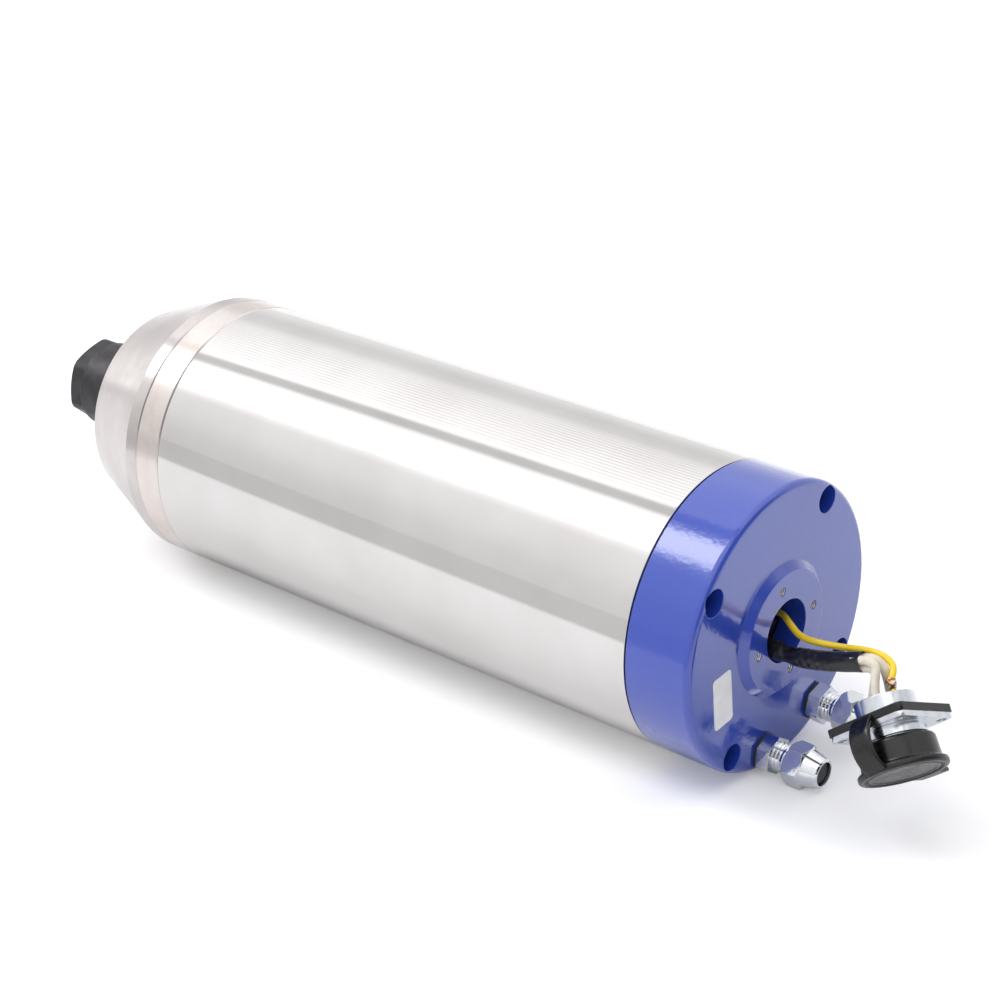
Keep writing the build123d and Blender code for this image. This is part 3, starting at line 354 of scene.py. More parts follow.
def electrical_steel(look):
    # Stack of stamped laminations: half-millimetre edges of blue-grey coated steel
    material, tree, shader = new_material("electrical_steel", Metallic=0.8, Roughness=0.45)
    point = object_point(tree, (1000, 1000, 1000))
    sheets = add_node(
        tree, "ShaderNodeTexWave", {"Vector": point, "Scale": 0.3, "Distortion": 0.2}, bands_direction="X"
    )
    tone = add_node(
        tree, "ShaderNodeValToRGB", {"Fac": sheets.outputs["Fac"]},
        stops=[(0.1, "#3E4147"), (0.6, "#7C8088")],
    )
    feed(
        tree, shader,
        Base_Color=tone,
        Normal=add_node(tree, "ShaderNodeBump", {"Height": sheets.outputs["Fac"], "Distance": 0.03 * MM}),
    )
    return material


def enamelled_copper(look):
    # Varnished winding wire: round strands under amber varnish
    material, tree, shader = new_material(
        "enamelled_copper", Metallic=0.9, Roughness=0.3, Coat_Weight=0.6, Coat_Roughness=0.15
    )
    strands = noise(tree, 1.6, (1, 0.2, 0.2), 3)
    tone = add_node(
        tree, "ShaderNodeValToRGB", {"Fac": strands}, stops=[(0.3, "#6E2F12"), (0.6, "#B5602B")]
    )
    feed(
        tree, shader,
        Base_Color=tone,
        Normal=add_node(tree, "ShaderNodeBump", {"Height": strands, "Distance": 0.15 * MM}),
    )
    return material


def cast_rotor_aluminium(look):
    # Die-cast aluminium: dull, slightly grainy skin
    material, tree, shader = new_material("cast_rotor_aluminium", Metallic=1.0, Roughness=0.45)
    grain = noise(tree, 1.2, (1, 1, 1), 4)
    tone = add_node(tree, "ShaderNodeValToRGB", {"Fac": grain}, stops=[(0.3, "#A9AAAC"), (0.7, "#C3C4C6")])
    feed(
        tree, shader,
        Base_Color=tone,
        Normal=add_node(tree, "ShaderNodeBump", {"Height": grain, "Distance": 0.02 * MM}),
    )
    return material


def gilt_brass(look):
    # Turned brass with a thin gilt: warm, with fine turning lines
    material, tree, shader = new_material("gilt_brass", Metallic=1.0)
    lines = noise(tree, 6.0, (1, 1, 1), 3)
    tone = add_node(tree, "ShaderNodeValToRGB", {"Fac": lines}, stops=[(0.3, "#C9A04A"), (0.7, "#DDBB66")])
    rough = add_node(tree, "ShaderNodeValToRGB", {"Fac": lines}, stops=[(0.3, 0.28), (0.7, 0.18)])
    feed(
        tree, shader,
        Base_Color=tone,
        Roughness=rough,
        Normal=add_node(tree, "ShaderNodeBevel", {"Radius": 0.1 * MM}, samples=4),
    )
    return material


def heat_shrink(look):
    # Shrunk black tubing: a glossy skin with fine stretch lines along the lead
    material, tree, shader = new_material("heat_shrink", Specular_IOR_Level=0.55)
    cloud = noise(tree, 0.4, (1, 1, 1), 4)
    tone = add_node(tree, "ShaderNodeValToRGB", {"Fac": cloud}, stops=[(0.3, "#141416"), (0.75, "#222326")])
    rough = add_node(tree, "ShaderNodeValToRGB", {"Fac": cloud}, stops=[(0.3, 0.16), (0.7, 0.3)])
    creases = noise(tree, 0.55, (0.5, 1.4, 1.4), 4, roughness=0.6)
    fine = noise(tree, 3.0, (0.35, 1, 1), 2)
    under = add_node(tree, "ShaderNodeBump", {"Height": creases, "Distance": 0.12 * MM})
    feed(
        tree, shader,
        Base_Color=tone,
        Roughness=rough,
        Normal=add_node(tree, "ShaderNodeBump", {"Height": fine, "Distance": 0.01 * MM, "Normal": under}),
    )
    return material


def glass_sleeve(look):
    # Varnished glass-braid sleeving: cream, a little translucent, with its crossed braid just visible
    material, tree, shader = new_material(
        "glass_sleeve", Roughness=0.48, Subsurface_Weight=0.25, Subsurface_Scale=0.001, Sheen_Weight=0.15
    )
    shader.inputs["Subsurface Radius"].default_value = (1.0, 0.8, 0.5)
    cloud = noise(tree, 0.35, (1, 1, 1), 4)
    tone = add_node(
        tree, "ShaderNodeValToRGB", {"Fac": cloud},
        stops=[(0.3, "#D8CDB8"), (0.55, "#E6DFCF"), (0.75, "#EFEBE0")],
    )
    # Braid threads about 0.8 mm apart, drawn coarser than the real ones so that they show
    crossing = [
        add_node(
            tree,
            "ShaderNodeTexWave",
            {"Vector": object_point(tree, (1000, side * 1000, 1000)), "Scale": 0.45, "Distortion": 0.6},
            bands_direction="DIAGONAL",
        )
        for side in (1, -1)
    ]
    threads = {index: wave.outputs["Fac"] for index, wave in enumerate(crossing)}
    weave = add_node(tree, "ShaderNodeMath", threads, operation="MAXIMUM")
    feed(
        tree, shader,
        Base_Color=tone,
        Normal=add_node(tree, "ShaderNodeBump", {"Height": weave, "Distance": 0.025 * MM}),
    )
    return material


def yellow_insulation(look):
    # Extruded PVC insulation: saturated, softly glossy, with faint drawing lines and scuffs
    material, tree, shader = new_material("yellow_insulation", Specular_IOR_Level=0.5)
    cloud = noise(tree, 0.3, (1, 1, 1), 4)
    tone = add_node(tree, "ShaderNodeValToRGB", {"Fac": cloud}, stops=[(0.3, "#F2CC22"), (0.7, "#FBDD3C")])
    rough = add_node(tree, "ShaderNodeValToRGB", {"Fac": cloud}, stops=[(0.3, 0.28), (0.7, 0.4)])
    lines = noise(tree, 2.0, (0.2, 1, 1), 2)
    feed(
        tree, shader,
        Base_Color=tone,
        Roughness=rough,
        Normal=add_node(tree, "ShaderNodeBump", {"Height": lines, "Distance": 0.01 * MM}),
    )
    return material


def solder(look):
    # Hand-made solder joint: bright tin with copper strands showing and brown flux in the hollows
    material, tree, shader = new_material("solder", Metallic=1.0)
    patches = noise(tree, 0.55, (1, 1, 1), 3)
    tone = add_node(
        tree, "ShaderNodeValToRGB", {"Fac": patches},
        stops=[(0.36, "#8A4A22"), (0.44, "#B9875C"), (0.5, "#CFCDCB"), (0.8, "#E6E6E6")],
    )
    rough = add_node(tree, "ShaderNodeValToRGB", {"Fac": patches}, stops=[(0.4, 0.35), (0.55, 0.14)])
    ripple = noise(tree, 1.6, (1, 1, 1), 3)
    feed(
        tree, shader,
        Base_Color=tone,
        Roughness=rough,
        Normal=add_node(tree, "ShaderNodeBump", {"Height": ripple, "Distance": 0.12 * MM}),
    )
    return material


def tin_plate(look):
    # Tinned copper terminal: soft grey silver with press marks
    material, tree, shader = new_material("tin_plate", Metallic=1.0)
    cloud = noise(tree, 0.8, (1, 1, 1), 3)
    tone = add_node(tree, "ShaderNodeValToRGB", {"Fac": cloud}, stops=[(0.3, "#B9BABB"), (0.7, "#D0D0D0")])
    rough = add_node(tree, "ShaderNodeValToRGB", {"Fac": cloud}, stops=[(0.3, 0.38), (0.7, 0.26)])
    feed(
        tree, shader,
        Base_Color=tone,
        Roughness=rough,
        Normal=add_node(tree, "ShaderNodeBevel", {"Radius": 0.1 * MM}, samples=4),
    )
    return material


def label_film(look):
    # Blank matt polyester label: off-white, its edge a touch greyer from handling
    material, tree, shader = new_material("label_film", Roughness=0.42)
    cloud = noise(tree, 0.3, (1, 1, 1), 5, roughness=0.65)
    tone = add_node(tree, "ShaderNodeValToRGB", {"Fac": cloud}, stops=[(0.3, "#E4E4E8"), (0.7, "#F1F1F3")])
    worn = edge_mask(tree, 0.3, 0.8)
    feed(
        tree, shader,
        Base_Color=add_node(
            tree, "ShaderNodeMix", {0: worn, 6: tone.outputs[0], 7: srgb("#C9C9CF")}, data_type="RGBA"
        ).outputs[2],
        Normal=add_node(tree, "ShaderNodeBump", {"Height": cloud, "Distance": 0.004 * MM}),
    )
    return material


FINISHES = [
    polished_barrel_steel, turned_ring_steel, nose_aluminium, blue_enamel, black_oxide_steel, ground_steel,
    bright_chrome, zinc_plate, black_rubber, grey_rubber, nitrile_gasket, electrical_steel, enamelled_copper,
    cast_rotor_aluminium, cage_polymer, insulator_polymer, gilt_brass, heat_shrink, glass_sleeve,
    yellow_insulation, solder, tin_plate, label_film,
]


# Surfaces

def link_piece(name, mesh, body, slot, replaced=()):
    """Put a finished mesh in the scene on its body, with its finish and the nodes that it stands for."""
    piece = bpy.data.objects.new(name, mesh)
    bpy.context.scene.collection.objects.link(piece)
    mesh.materials.clear()
    mesh.materials.append(bpy.data.materials[slot])
    if body:
        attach(piece, body)
    if replaced:
        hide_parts(*replaced)
    return piece


def surface(name, points, wrap_rows=False, wrap_columns=True, sharp_degrees=40.0):
    """A mesh from a grid of points in millimetres: rows by columns by 3.
    Each cell becomes a quad; a wrapped direction joins its last line to its first. Rows that shrink
    to one point become poles, and the faces are turned outwards."""
    rows, columns = points.shape[:2]
    row = np.arange(rows if wrap_rows else rows - 1)[:, None]
    column = np.arange(columns if wrap_columns else columns - 1)[None, :]
    next_row, next_column = (row + 1) % rows, (column + 1) % columns
    corners = np.stack(
        [
            row * columns + column,
            row * columns + next_column,
            next_row * columns + next_column,
            next_row * columns + column,
        ],
        axis=-1,
    ).reshape(-1, 4)
    mesh = bpy.data.meshes.new(name)
    mesh.from_pydata((points.reshape(-1, 3) * MM).tolist(), [], corners.tolist())
    work = bmesh.new()
    work.from_mesh(mesh)
    bmesh.ops.remove_doubles(work, verts=work.verts, dist=MERGE_DISTANCE)
    bmesh.ops.recalc_face_normals(work, faces=work.faces)
    work.to_mesh(mesh)
    work.free()
    mesh.shade_smooth()
    mesh.set_sharp_from_angle(angle=math.radians(sharp_degrees))
    return mesh


def rounded(corners, radius, steps=5):
    """A profile with its corners turned into arcs; corners are points, each with its own radius or the
    common one, and an arc takes at most 0.45 of a side. Its points are the quadratic blend
    (1-t)^2 a + 2t(1-t) b + t^2 c."""
    points = []
    for index, corner in enumerate(corners):
        here = np.array(corner[:2], float)
        size = corner[2] if len(corner) > 2 else radius
        if index in (0, len(corners) - 1) or size == 0:
            points.append(here)
            continue
        before = np.array(corners[index - 1][:2], float) - here
        after = np.array(corners[index + 1][:2], float) - here
        start = here + before / np.linalg.norm(before) * min(size, 0.45 * np.linalg.norm(before))
        end = here + after / np.linalg.norm(after) * min(size, 0.45 * np.linalg.norm(after))
        for t in np.linspace(0, 1, steps):
            points.append((1 - t) ** 2 * start + 2 * t * (1 - t) * here + t**2 * end)
    return np.array(points)


def turned(profile, count, origin=(0, 0, 0), axis=(1, 0, 0), across=(0, 1, 0)):
    """A lathe surface: point = origin + x axis + r (cos a across + sin a other), for each profile (x, r)."""
    axis, across = np.array(axis, float), np.array(across, float)
    other = np.cross(axis, across)
    angle = np.linspace(0, 2 * math.pi, count, endpoint=False)
    circle = np.cos(angle)[:, None] * across + np.sin(angle)[:, None] * other
    return np.array(origin) + profile[:, None, :1] * axis + profile[:, None, 1:2] * circle[None]


def along(path, sections):
    """A tube: each section (columns by 2) stands square to the path at its point, without twist.
    The frame is carried from point to point by removing its part along the new direction."""
    direction = np.gradient(path, axis=0)
    direction /= np.linalg.norm(direction, axis=1)[:, None]
    side = np.cross(direction[0], (0, 0, 1.0))
    sides = []
    for heading in direction:
        side = side - heading * (side @ heading)
        side = side / np.linalg.norm(side)
        sides.append(side)
    sides = np.array(sides)
    ups = np.cross(direction, sides)
    return path[:, None] + sections[..., :1] * sides[:, None] + sections[..., 1:2] * ups[:, None]


def circle_sections(radii, count):
    """Round sections, one for each radius."""
    angle = np.linspace(0, 2 * math.pi, count, endpoint=False)
    ring = np.stack([np.cos(angle), np.sin(angle)], axis=-1)
    return np.asarray(radii, float)[:, None, None] * ring[None]


def cord_curve(name, route, radius=0.0):
    """A NURBS curve of order 3 whose control points are the route, in millimetres."""
    curve = bpy.data.curves.new(name, "CURVE")
    curve.dimensions = "3D"
    spline = curve.splines.new("NURBS")
    spline.points.add(len(route) - 1)
    for point, place in zip(spline.points, route):
        point.co = (*[value * MM for value in place], 1.0)
    spline.order_u = 3
    spline.use_endpoint_u = True
    spline.resolution_u = 12
    curve.bevel_depth = radius * MM
    curve.bevel_resolution = 6
    curve.use_fill_caps = True
    return curve


def cord_points(name, route):
    """Points in millimetres read from the smooth line of a route."""
    curve = cord_curve(name, route)
    holder = bpy.data.objects.new(name, curve)
    line = bpy.data.meshes.new_from_object(holder)
    points = np.zeros(3 * len(line.vertices))
    line.vertices.foreach_get("co", points)
    bpy.data.objects.remove(holder)
    bpy.data.curves.remove(curve)
    bpy.data.meshes.remove(line)
    return points.reshape(-1, 3) / MM


def evenly(points, count):
    """The same line with count points at equal distances along it."""
    steps = np.linalg.norm(np.diff(points, axis=0), axis=1)
    travelled = np.concatenate([[0], np.cumsum(steps)])
    places = np.linspace(0, travelled[-1], count)
    return np.stack([np.interp(places, travelled, points[:, axis]) for axis in range(3)], axis=-1)


def softened(node, body, slot, width):
    """A machined part with its edges broken: the part's own faces, joined, then bevelled by width."""
    mesh = NODES[node].data.copy()
    mesh.name = f"{node}_finished"
    if "custom_normal" in mesh.attributes:
        mesh.attributes.remove(mesh.attributes["custom_normal"])
    work = bmesh.new()
    work.from_mesh(mesh)
    bmesh.ops.remove_doubles(work, verts=work.verts, dist=MERGE_DISTANCE)
    flat = [edge for edge in work.edges if len(edge.link_faces) == 2]
    bmesh.ops.dissolve_limit(
        work, angle_limit=math.radians(0.6), verts=work.verts, edges=flat, use_dissolve_boundaries=False
    )
    work.to_mesh(mesh)
    work.free()
    piece = link_piece(f"{node}_finished", mesh, body, slot, [node])
    mesh.shade_smooth()
    edges = piece.modifiers.new("broken edges", "BEVEL")
    edges.width = width * MM
    edges.segments = 2
    edges.limit_method = "ANGLE"
    edges.angle_limit = math.radians(28)
    edges.use_clamp_overlap = True
    edges.face_strength_mode = "FSTR_AFFECTED"
    flats = piece.modifiers.new("flat faces", "WEIGHTED_NORMAL")
    flats.use_face_influence = True
    flats.weight = 100
    return piece


# Socket frame, as the socket hangs: w along it from the leads to the cap, x across the flange

SOCKET_PLACE = np.array([146.5, -8.9, -11.2])
SOCKET_YAW, SOCKET_PITCH, SOCKET_ROLL = (math.radians(angle) for angle in (-32.4, 44.0, -32.1))
SOCKET_W = np.array(
    [
        math.cos(SOCKET_PITCH) * math.cos(SOCKET_YAW),
        math.cos(SOCKET_PITCH) * math.sin(SOCKET_YAW),
        -math.sin(SOCKET_PITCH),
    ]
)
LEVEL = np.array([-math.sin(SOCKET_YAW), math.cos(SOCKET_YAW), 0])
SOCKET_X = LEVEL * math.cos(SOCKET_ROLL) + np.cross(SOCKET_W, LEVEL) * math.sin(SOCKET_ROLL)
SOCKET_Y = np.cross(SOCKET_W, SOCKET_X)


def socket_points(local):
    """Points given as x, y, w in the socket's frame, in the row frame."""
    across, up, depth = np.split(np.asarray(local, float), 3, axis=-1)
    return SOCKET_PLACE + across * SOCKET_X + up * SOCKET_Y + depth * SOCKET_W


# Routes of the leads, the same points as the part's own

SLEEVE_ROUTE = [
    (100.4, -3.1, -4.1),
    (105.2, -3.7, -4.2),
    (110.6, -4.4, -3.8),
    (116.0, -4.7, -3.1),
    (122.4, -4.8, -1.6),
    (128.6, -4.9, 0.2),
    (134.0, -4.4, 1.9),
]
SLEEVE_RADIUS = 2.7
INSULATOR_REAR = -6.6
PIN_CIRCLE = 3.4
SOLDER_BASE = INSULATOR_REAR - 3.0
SOLDER_LENGTH = 3.2
SOLDER_RADIUS = 1.6
EARTH_ROUTE = [
    (90.1, 13.53, -4.93),
    (93.4, 13.53, -4.93),
    (97.2, 7.4, -0.5),
    (102.4, 6.2, 1.0),
    (107.6, 2.0, 1.3),
    (113.4, -1.5, 0.5),
    (119.8, -1.6, 1.0),
    (125.8, -0.2, 1.4),
    (131.4, -0.2, 2.8),
    (136.2, -0.3, 3.4),
    (139.4, -0.4, 2.6),
    (141.4, -1.2, 1.0),
    tuple(socket_points((0, PIN_CIRCLE, SOLDER_BASE - 0.7 * SOLDER_LENGTH))),
]
EARTH_RADIUS = 0.9
LEAD_RADIUS = 1.2
LEAD_SPREAD = 1.5
PHASES = {
    "u": {"pin": (PIN_CIRCLE, 0), "start_angle": 20.0, "reach": 4.4},
    "v": {"pin": (-PIN_CIRCLE, 0), "start_angle": 140.0, "reach": 4.8},
    "w": {"pin": (0, -PIN_CIRCLE), "start_angle": 260.0, "reach": 3.6},
}


def phase_route(lead):
    """A phase lead from the sleeve's mouth to its pin: straight out, then a cubic blend of both headings."""
    mouth = np.array(SLEEVE_ROUTE[-1])
    heading = mouth - np.array(SLEEVE_ROUTE[-2])
    heading /= np.linalg.norm(heading)
    side = np.cross((0, 0, 1.0), heading)
    side /= np.linalg.norm(side)
    turn = math.radians(lead["start_angle"])
    start = mouth + LEAD_SPREAD * (math.cos(turn) * side + math.sin(turn) * np.cross(heading, side))
    end = socket_points((*lead["pin"], INSULATOR_REAR))
    first, last = start + 2.2 * heading, end - 2.0 * SOCKET_W
    handles = [first, first + lead["reach"] * heading, last - lead["reach"] * SOCKET_W, last]
    points = [start - 2.4 * heading, start, first]
    for t in (1 / 3, 2 / 3):
        weights = [(1 - t) ** 3, 3 * t * (1 - t) ** 2, 3 * t**2 * (1 - t), t**3]
        points.append(sum(weight * handle for weight, handle in zip(weights, handles)))
    return points + [last, end]


# Properties

class SpindleLook(bpy.types.PropertyGroup):
    enamel_colour: FloatVectorProperty(
        name="Cover Enamel", description="Colour of the rear cover", subtype="COLOR", size=3,
        default=srgb("#2745B2")[:3], min=0, max=1,
    )
    lathe_segments: IntProperty(
        name="Lathe Segments", description="Facets around the large turned parts", default=512, min=64
    )
    edge_width: FloatProperty(
        name="Edge Break", description="Width of the broken edges on machined parts",
        default=0.25 * MM, unit="LENGTH",
    )


class SpindleStudio(bpy.types.PropertyGroup):
    camera_place: FloatVectorProperty(
        name="Camera", description="Where the camera stands", subtype="TRANSLATION", size=3,
        default=(0.41097, -0.47161, 0.29681),
    )
    camera_azimuth: FloatProperty(
        name="Azimuth", description="Turn of the camera about the vertical", subtype="ANGLE",
        default=math.radians(40.267),
    )
    camera_elevation: FloatProperty(
        name="Elevation", description="Angle at which the camera looks down", subtype="ANGLE",
        default=math.radians(25.047),
    )
    focal_pixels: FloatProperty(
        name="Focal Length", description="Focal length in picture widths of 1000", default=2442.13
    )
    floor_height: FloatProperty(
        name="Floor", description="Height of the surface under the barrel", unit="LENGTH",
        default=cad_box[0][2],
    )
    sky_strength: FloatProperty(name="Tent", description="Brightness of the light tent", default=1.0)


# Stage

class SPINDLE_OT_studio(bpy.types.Operator):
    """Add the pale floor, the light tent and the camera"""
    bl_idname = "spindle.studio"
    bl_label = "Studio"

    def execute(self, context):
        studio = context.scene.spindle_studio
        self.add_floor(studio.floor_height)
        self.add_tent(context.scene, studio.sky_strength)
        self.add_camera(context.scene, studio)
        context.scene.view_settings.view_transform = "Standard"
        return {"FINISHED"}

    def add_floor(self, height):
        """A flat square of floor, 24 m across, with its centre under the barrel."""
        reach = np.array([-12000.0, 12000.0])
        grid = np.stack(np.meshgrid(reach, reach, indexing="ij"), axis=-1)
        points = np.concatenate([grid, np.full((2, 2, 1), height / MM)], axis=-1)
        floor = bpy.data.objects.new("floor", surface("floor", points, wrap_columns=False))
        bpy.context.scene.collection.objects.link(floor)
        material = bpy.data.materials.new("studio_floor")
        material.use_nodes = True
        tree = material.node_tree
        tree.nodes.clear()
        # White paper in front of the spindle; past its edge the room is greyer, which only gloss sees
        point = add_node(tree, "ShaderNodeTexCoord")
        place = add_node(tree, "ShaderNodeSeparateXYZ", {"Vector": point.outputs["Object"]})
        edge_start, edge_end = -0.19, -0.165
        paper = add_node(
            tree, "ShaderNodeMapRange",
            {"Value": place.outputs["Y"], "From Min": edge_start, "From Max": edge_end},
        )
        path = add_node(tree, "ShaderNodeLightPath")
        paint = add_node(tree, "ShaderNodeBsdfDiffuse", {"Color": (0.86, 0.86, 0.87, 1.0)})
        fill = add_node(tree, "ShaderNodeEmission", {"Color": (1.0, 1.0, 1.0, 1.0), "Strength": 0.2})
        lit = add_node(tree, "ShaderNodeAddShader", {0: paint, 1: fill})
        seen = add_node(
            tree, "ShaderNodeMixShader", {"Fac": path.outputs["Is Camera Ray"], 1: paint, 2: lit}
        )
        room = add_node(tree, "ShaderNodeEmission", {"Color": (0.75, 0.74, 0.75, 1.0), "Strength": 1.0})
        beyond = add_node(tree, "ShaderNodeMath", {0: 1.0, 1: paper}, operation="SUBTRACT")
        glossy = add_node(
            tree, "ShaderNodeMath", {0: beyond, 1: path.outputs["Is Glossy Ray"]}, operation="MULTIPLY"
        )
        result = add_node(tree, "ShaderNodeMixShader", {"Fac": glossy, 1: seen, 2: room})
        add_node(tree, "ShaderNodeOutputMaterial", {"Surface": result})
        floor.data.materials.append(material)

    def around(self, levels):
        """Ramp stops for levels given by degrees about the axis, of which -180 to 180 fill the ramp."""
        return [((angle + 180) / 360, level) for angle, level in levels]

    def add_tent(self, scene, strength):
        """A light tent round the axis: long panels with gaps between them, which polished steel shows
        as bands. Its brightness depends on the angle about the spindle's axis."""
        world = bpy.data.worlds.new("light_tent")
        scene.world = world
        world.use_nodes = True
        tree = world.node_tree
        tree.nodes.clear()
        look = add_node(tree, "ShaderNodeTexCoord")
        part = add_node(tree, "ShaderNodeSeparateXYZ", {"Vector": look.outputs["Generated"]})
        turn = add_node(
            tree, "ShaderNodeMath", {0: part.outputs["Z"], 1: part.outputs["Y"]}, operation="ARCTAN2"
        )
        place = add_node(
            tree, "ShaderNodeMapRange", {"Value": turn, "From Min": -math.pi, "From Max": math.pi},
        )
        panels = [
            (-20, 0.9), (5, 0.98), (22, 0.86), (34, 0.94), (44, 1.2), (84, 1.5),
            (89, 1.55), (91, 0.8), (97, 0.78), (100, 1.4), (106, 1.6), (125, 1.5),
            (134, 1.1), (150, 1.02), (166, 0.89), (182, 0.84),
        ]
        stops = self.around([(angle, level / 2) for angle, level in panels[:-1]])
        band = add_node(
            tree, "ShaderNodeValToRGB", {"Fac": place}, stops=stops + [(1.0, panels[-1][1] / 2)]
        )
        # Tubes behind the far panel, seen as fine lines along the barrel: their number in a full turn,
        # and how far they swing the brightness about its mean
        tube_count, swing, mean = 118.0, 0.2, 0.97
        tubes = add_node(tree, "ShaderNodeMath", {0: turn, 1: tube_count}, operation="MULTIPLY")
        tubes = add_node(tree, "ShaderNodeMath", {0: tubes}, operation="SINE")
        tubes = add_node(tree, "ShaderNodeMath", {0: tubes, 1: swing, 2: mean}, operation="MULTIPLY_ADD")
        panel = add_node(
            tree, "ShaderNodeValToRGB", {"Fac": place},
            stops=self.around([(40, 0.0), (46, 1.0), (82, 1.0), (88, 0.0)]),
        )
        level = add_node(tree, "ShaderNodeMath", {0: band, 1: tubes}, operation="MULTIPLY")
        chosen = add_node(tree, "ShaderNodeMix", {0: panel, 2: band, 3: level}, data_type="FLOAT")
        # A dark doorway behind the tail end gives the plated parts something black to mirror
        door = add_node(
            tree,
            "ShaderNodeMapRange",
            {"Value": part.outputs["X"], "From Min": 0.55, "From Max": 0.75, "To Min": 1.0, "To Max": 0.22},
            interpolation_type="SMOOTHSTEP",
        )
        level = add_node(tree, "ShaderNodeMath", {0: chosen.outputs[0], 1: door}, operation="MULTIPLY")
        # One long softbox in the brightest panel, for the wet streak on the enamel
        box_middle, box_half, box_gain = -0.56, 0.27, 2.4
        overhead = add_node(
            tree, "ShaderNodeValToRGB", {"Fac": place},
            stops=self.around([(102, 0.0), (106, 1.0), (121, 1.0), (128, 0.0)]),
        )
        span = add_node(
            tree, "ShaderNodeMath", {0: part.outputs["X"], 1: box_middle, 2: box_half}, operation="COMPARE"
        )
        softbox = add_node(tree, "ShaderNodeMath", {0: overhead.outputs[0], 1: span}, operation="MULTIPLY")
        level = add_node(
            tree, "ShaderNodeMath", {0: softbox, 1: box_gain, 2: level}, operation="MULTIPLY_ADD"
        )
        level = add_node(tree, "ShaderNodeMath", {0: level, 1: 2.0 * strength}, operation="MULTIPLY")
        tent = add_node(tree, "ShaderNodeBackground", {"Color": (1.0, 1.0, 1.0, 1.0), "Strength": level})
        plain = add_node(tree, "ShaderNodeBackground", {"Color": (1.0, 1.0, 1.0, 1.0), "Strength": 1.0})
        path = add_node(tree, "ShaderNodeLightPath")
        result = add_node(
            tree, "ShaderNodeMixShader", {"Fac": path.outputs["Is Camera Ray"], 1: tent, 2: plain}
        )
        add_node(tree, "ShaderNodeOutputWorld", {"Surface": result})

    def add_camera(self, scene, studio):
        """The camera looks along -back, with back = (sin a cos e, -cos a cos e, sin e)."""
        data = bpy.data.cameras.new("camera")
        sensor, picture_width = 36.0, 1000.0
        data.sensor_width = sensor
        data.sensor_fit = "HORIZONTAL"
        data.lens = sensor * studio.focal_pixels / picture_width
        data.clip_start = 0.01
        data.clip_end = 60.0
        camera = bpy.data.objects.new("camera", data)
        scene.collection.objects.link(camera)
        a, e = studio.camera_azimuth, studio.camera_elevation
        back = Vector((math.sin(a) * math.cos(e), -math.cos(a) * math.cos(e), math.sin(e)))
        right = Vector((math.cos(a), math.sin(a), 0))
        up = back.cross(right)
        turn = Matrix((right, up, back)).transposed().to_4x4()
        camera.matrix_world = Matrix.Translation(studio.camera_place) @ turn
        scene.camera = camera


class SPINDLE_OT_finishes(bpy.types.Operator):
    """Make every finish and give each part its own"""
    bl_idname = "spindle.finishes"
    bl_label = "Finishes"

    def execute(self, context):
        look = context.scene.spindle_look
        for imported in list(bpy.data.materials):
            imported.name = f"imported_{imported.name}"
        materials = {finish.__name__: finish(look) for finish in FINISHES}
        for part in NODES.values():
            for slot in part.material_slots:
                slot.material = materials[slot.material.name.removeprefix("imported_").split(".")[0]]
        return {"FINISHED"}


# Machined parts

class SPINDLE_OT_barrel(bpy.types.Operator):
    """Turn the polished barrel tube with rounded end edges"""
    bl_idname = "spindle.barrel"
    bl_label = "Barrel"

    def execute(self, context):
        low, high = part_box("outer_barrel")
        start, end, outer = low.x / MM, high.x / MM, high.z / MM
        bore, outer_break, bore_break = 30.0, 0.3, 0.4
        front = rounded([(0, bore), (start, bore, bore_break), (start, outer), (0, outer)], outer_break)
        rear = rounded([(0, outer), (end, outer), (end, bore, bore_break), (0, bore)], outer_break)
        profile = np.concatenate([front, rear[1:-1]])
        points = turned(profile, context.scene.spindle_look.lathe_segments)
        mesh = surface("barrel_tube", points, wrap_rows=True)
        link_piece("barrel_tube", mesh, "motor_housing", "polished_barrel_steel", ["outer_barrel"])
        return {"FINISHED"}


class SPINDLE_OT_machined(bpy.types.Operator):
    """Break the edges of the socket shell and its gasket"""
    bl_idname = "spindle.machined"
    bl_label = "Machined Parts"

    def execute(self, context):
        width = context.scene.spindle_look.edge_width / MM
        softened("socket_shell", "motor_housing", "zinc_plate", 0.6 * width)
        softened("flange_gasket", "motor_housing", "black_rubber", 0.8 * width)
        return {"FINISHED"}


class SPINDLE_OT_hub_threads(bpy.types.Operator):
    """Line the four tapped holes of the hub with bare threads.
    Radius = hole - height (1 - |2 p - 1|), with p the part of a pitch passed along the helix; the crests
    stand inside the plain bore of the solid, which has no thread of its own."""
    bl_idname = "spindle.hub_threads"
    bl_label = "Hub Threads"

    def execute(self, context):
        hub_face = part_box("rear_cover")[1].x / MM
        circle, first_angle, hole = 12.5, 12.5, 1.24
        pitch, height, depth, sunk, run_in = 0.5, 0.2, 5.6, 0.25, 0.4
        turn = np.linspace(0, 2 * math.pi, 40, endpoint=False)[None, :]
        place = np.linspace(0, depth, 90)[:, None]
        phase = (place / pitch - turn / (2 * math.pi)) % 1.0
        radius = hole - height * (1 - np.abs(2 * phase - 1)) * np.clip(place / run_in, 0, 1)
        for index in range(4):
            angle = math.radians(first_angle + 90 * index)
            centre = circle * np.array([0, math.cos(angle), math.sin(angle)])
            points = np.stack(
                [
                    hub_face - sunk - place + 0 * turn,
                    centre[1] + radius * np.cos(turn),
                    centre[2] + radius * np.sin(turn),
                ],
                axis=-1,
            )
            points = np.concatenate([points, points[-1:] * [1, 0, 0] + [0, *centre[1:]]])
            mesh = surface(f"hub_thread_{index + 1}", points, sharp_degrees=80)
            link_piece(f"hub_thread_{index + 1}", mesh, "motor_housing", "nose_aluminium")
        return {"FINISHED"}


# Rubber parts

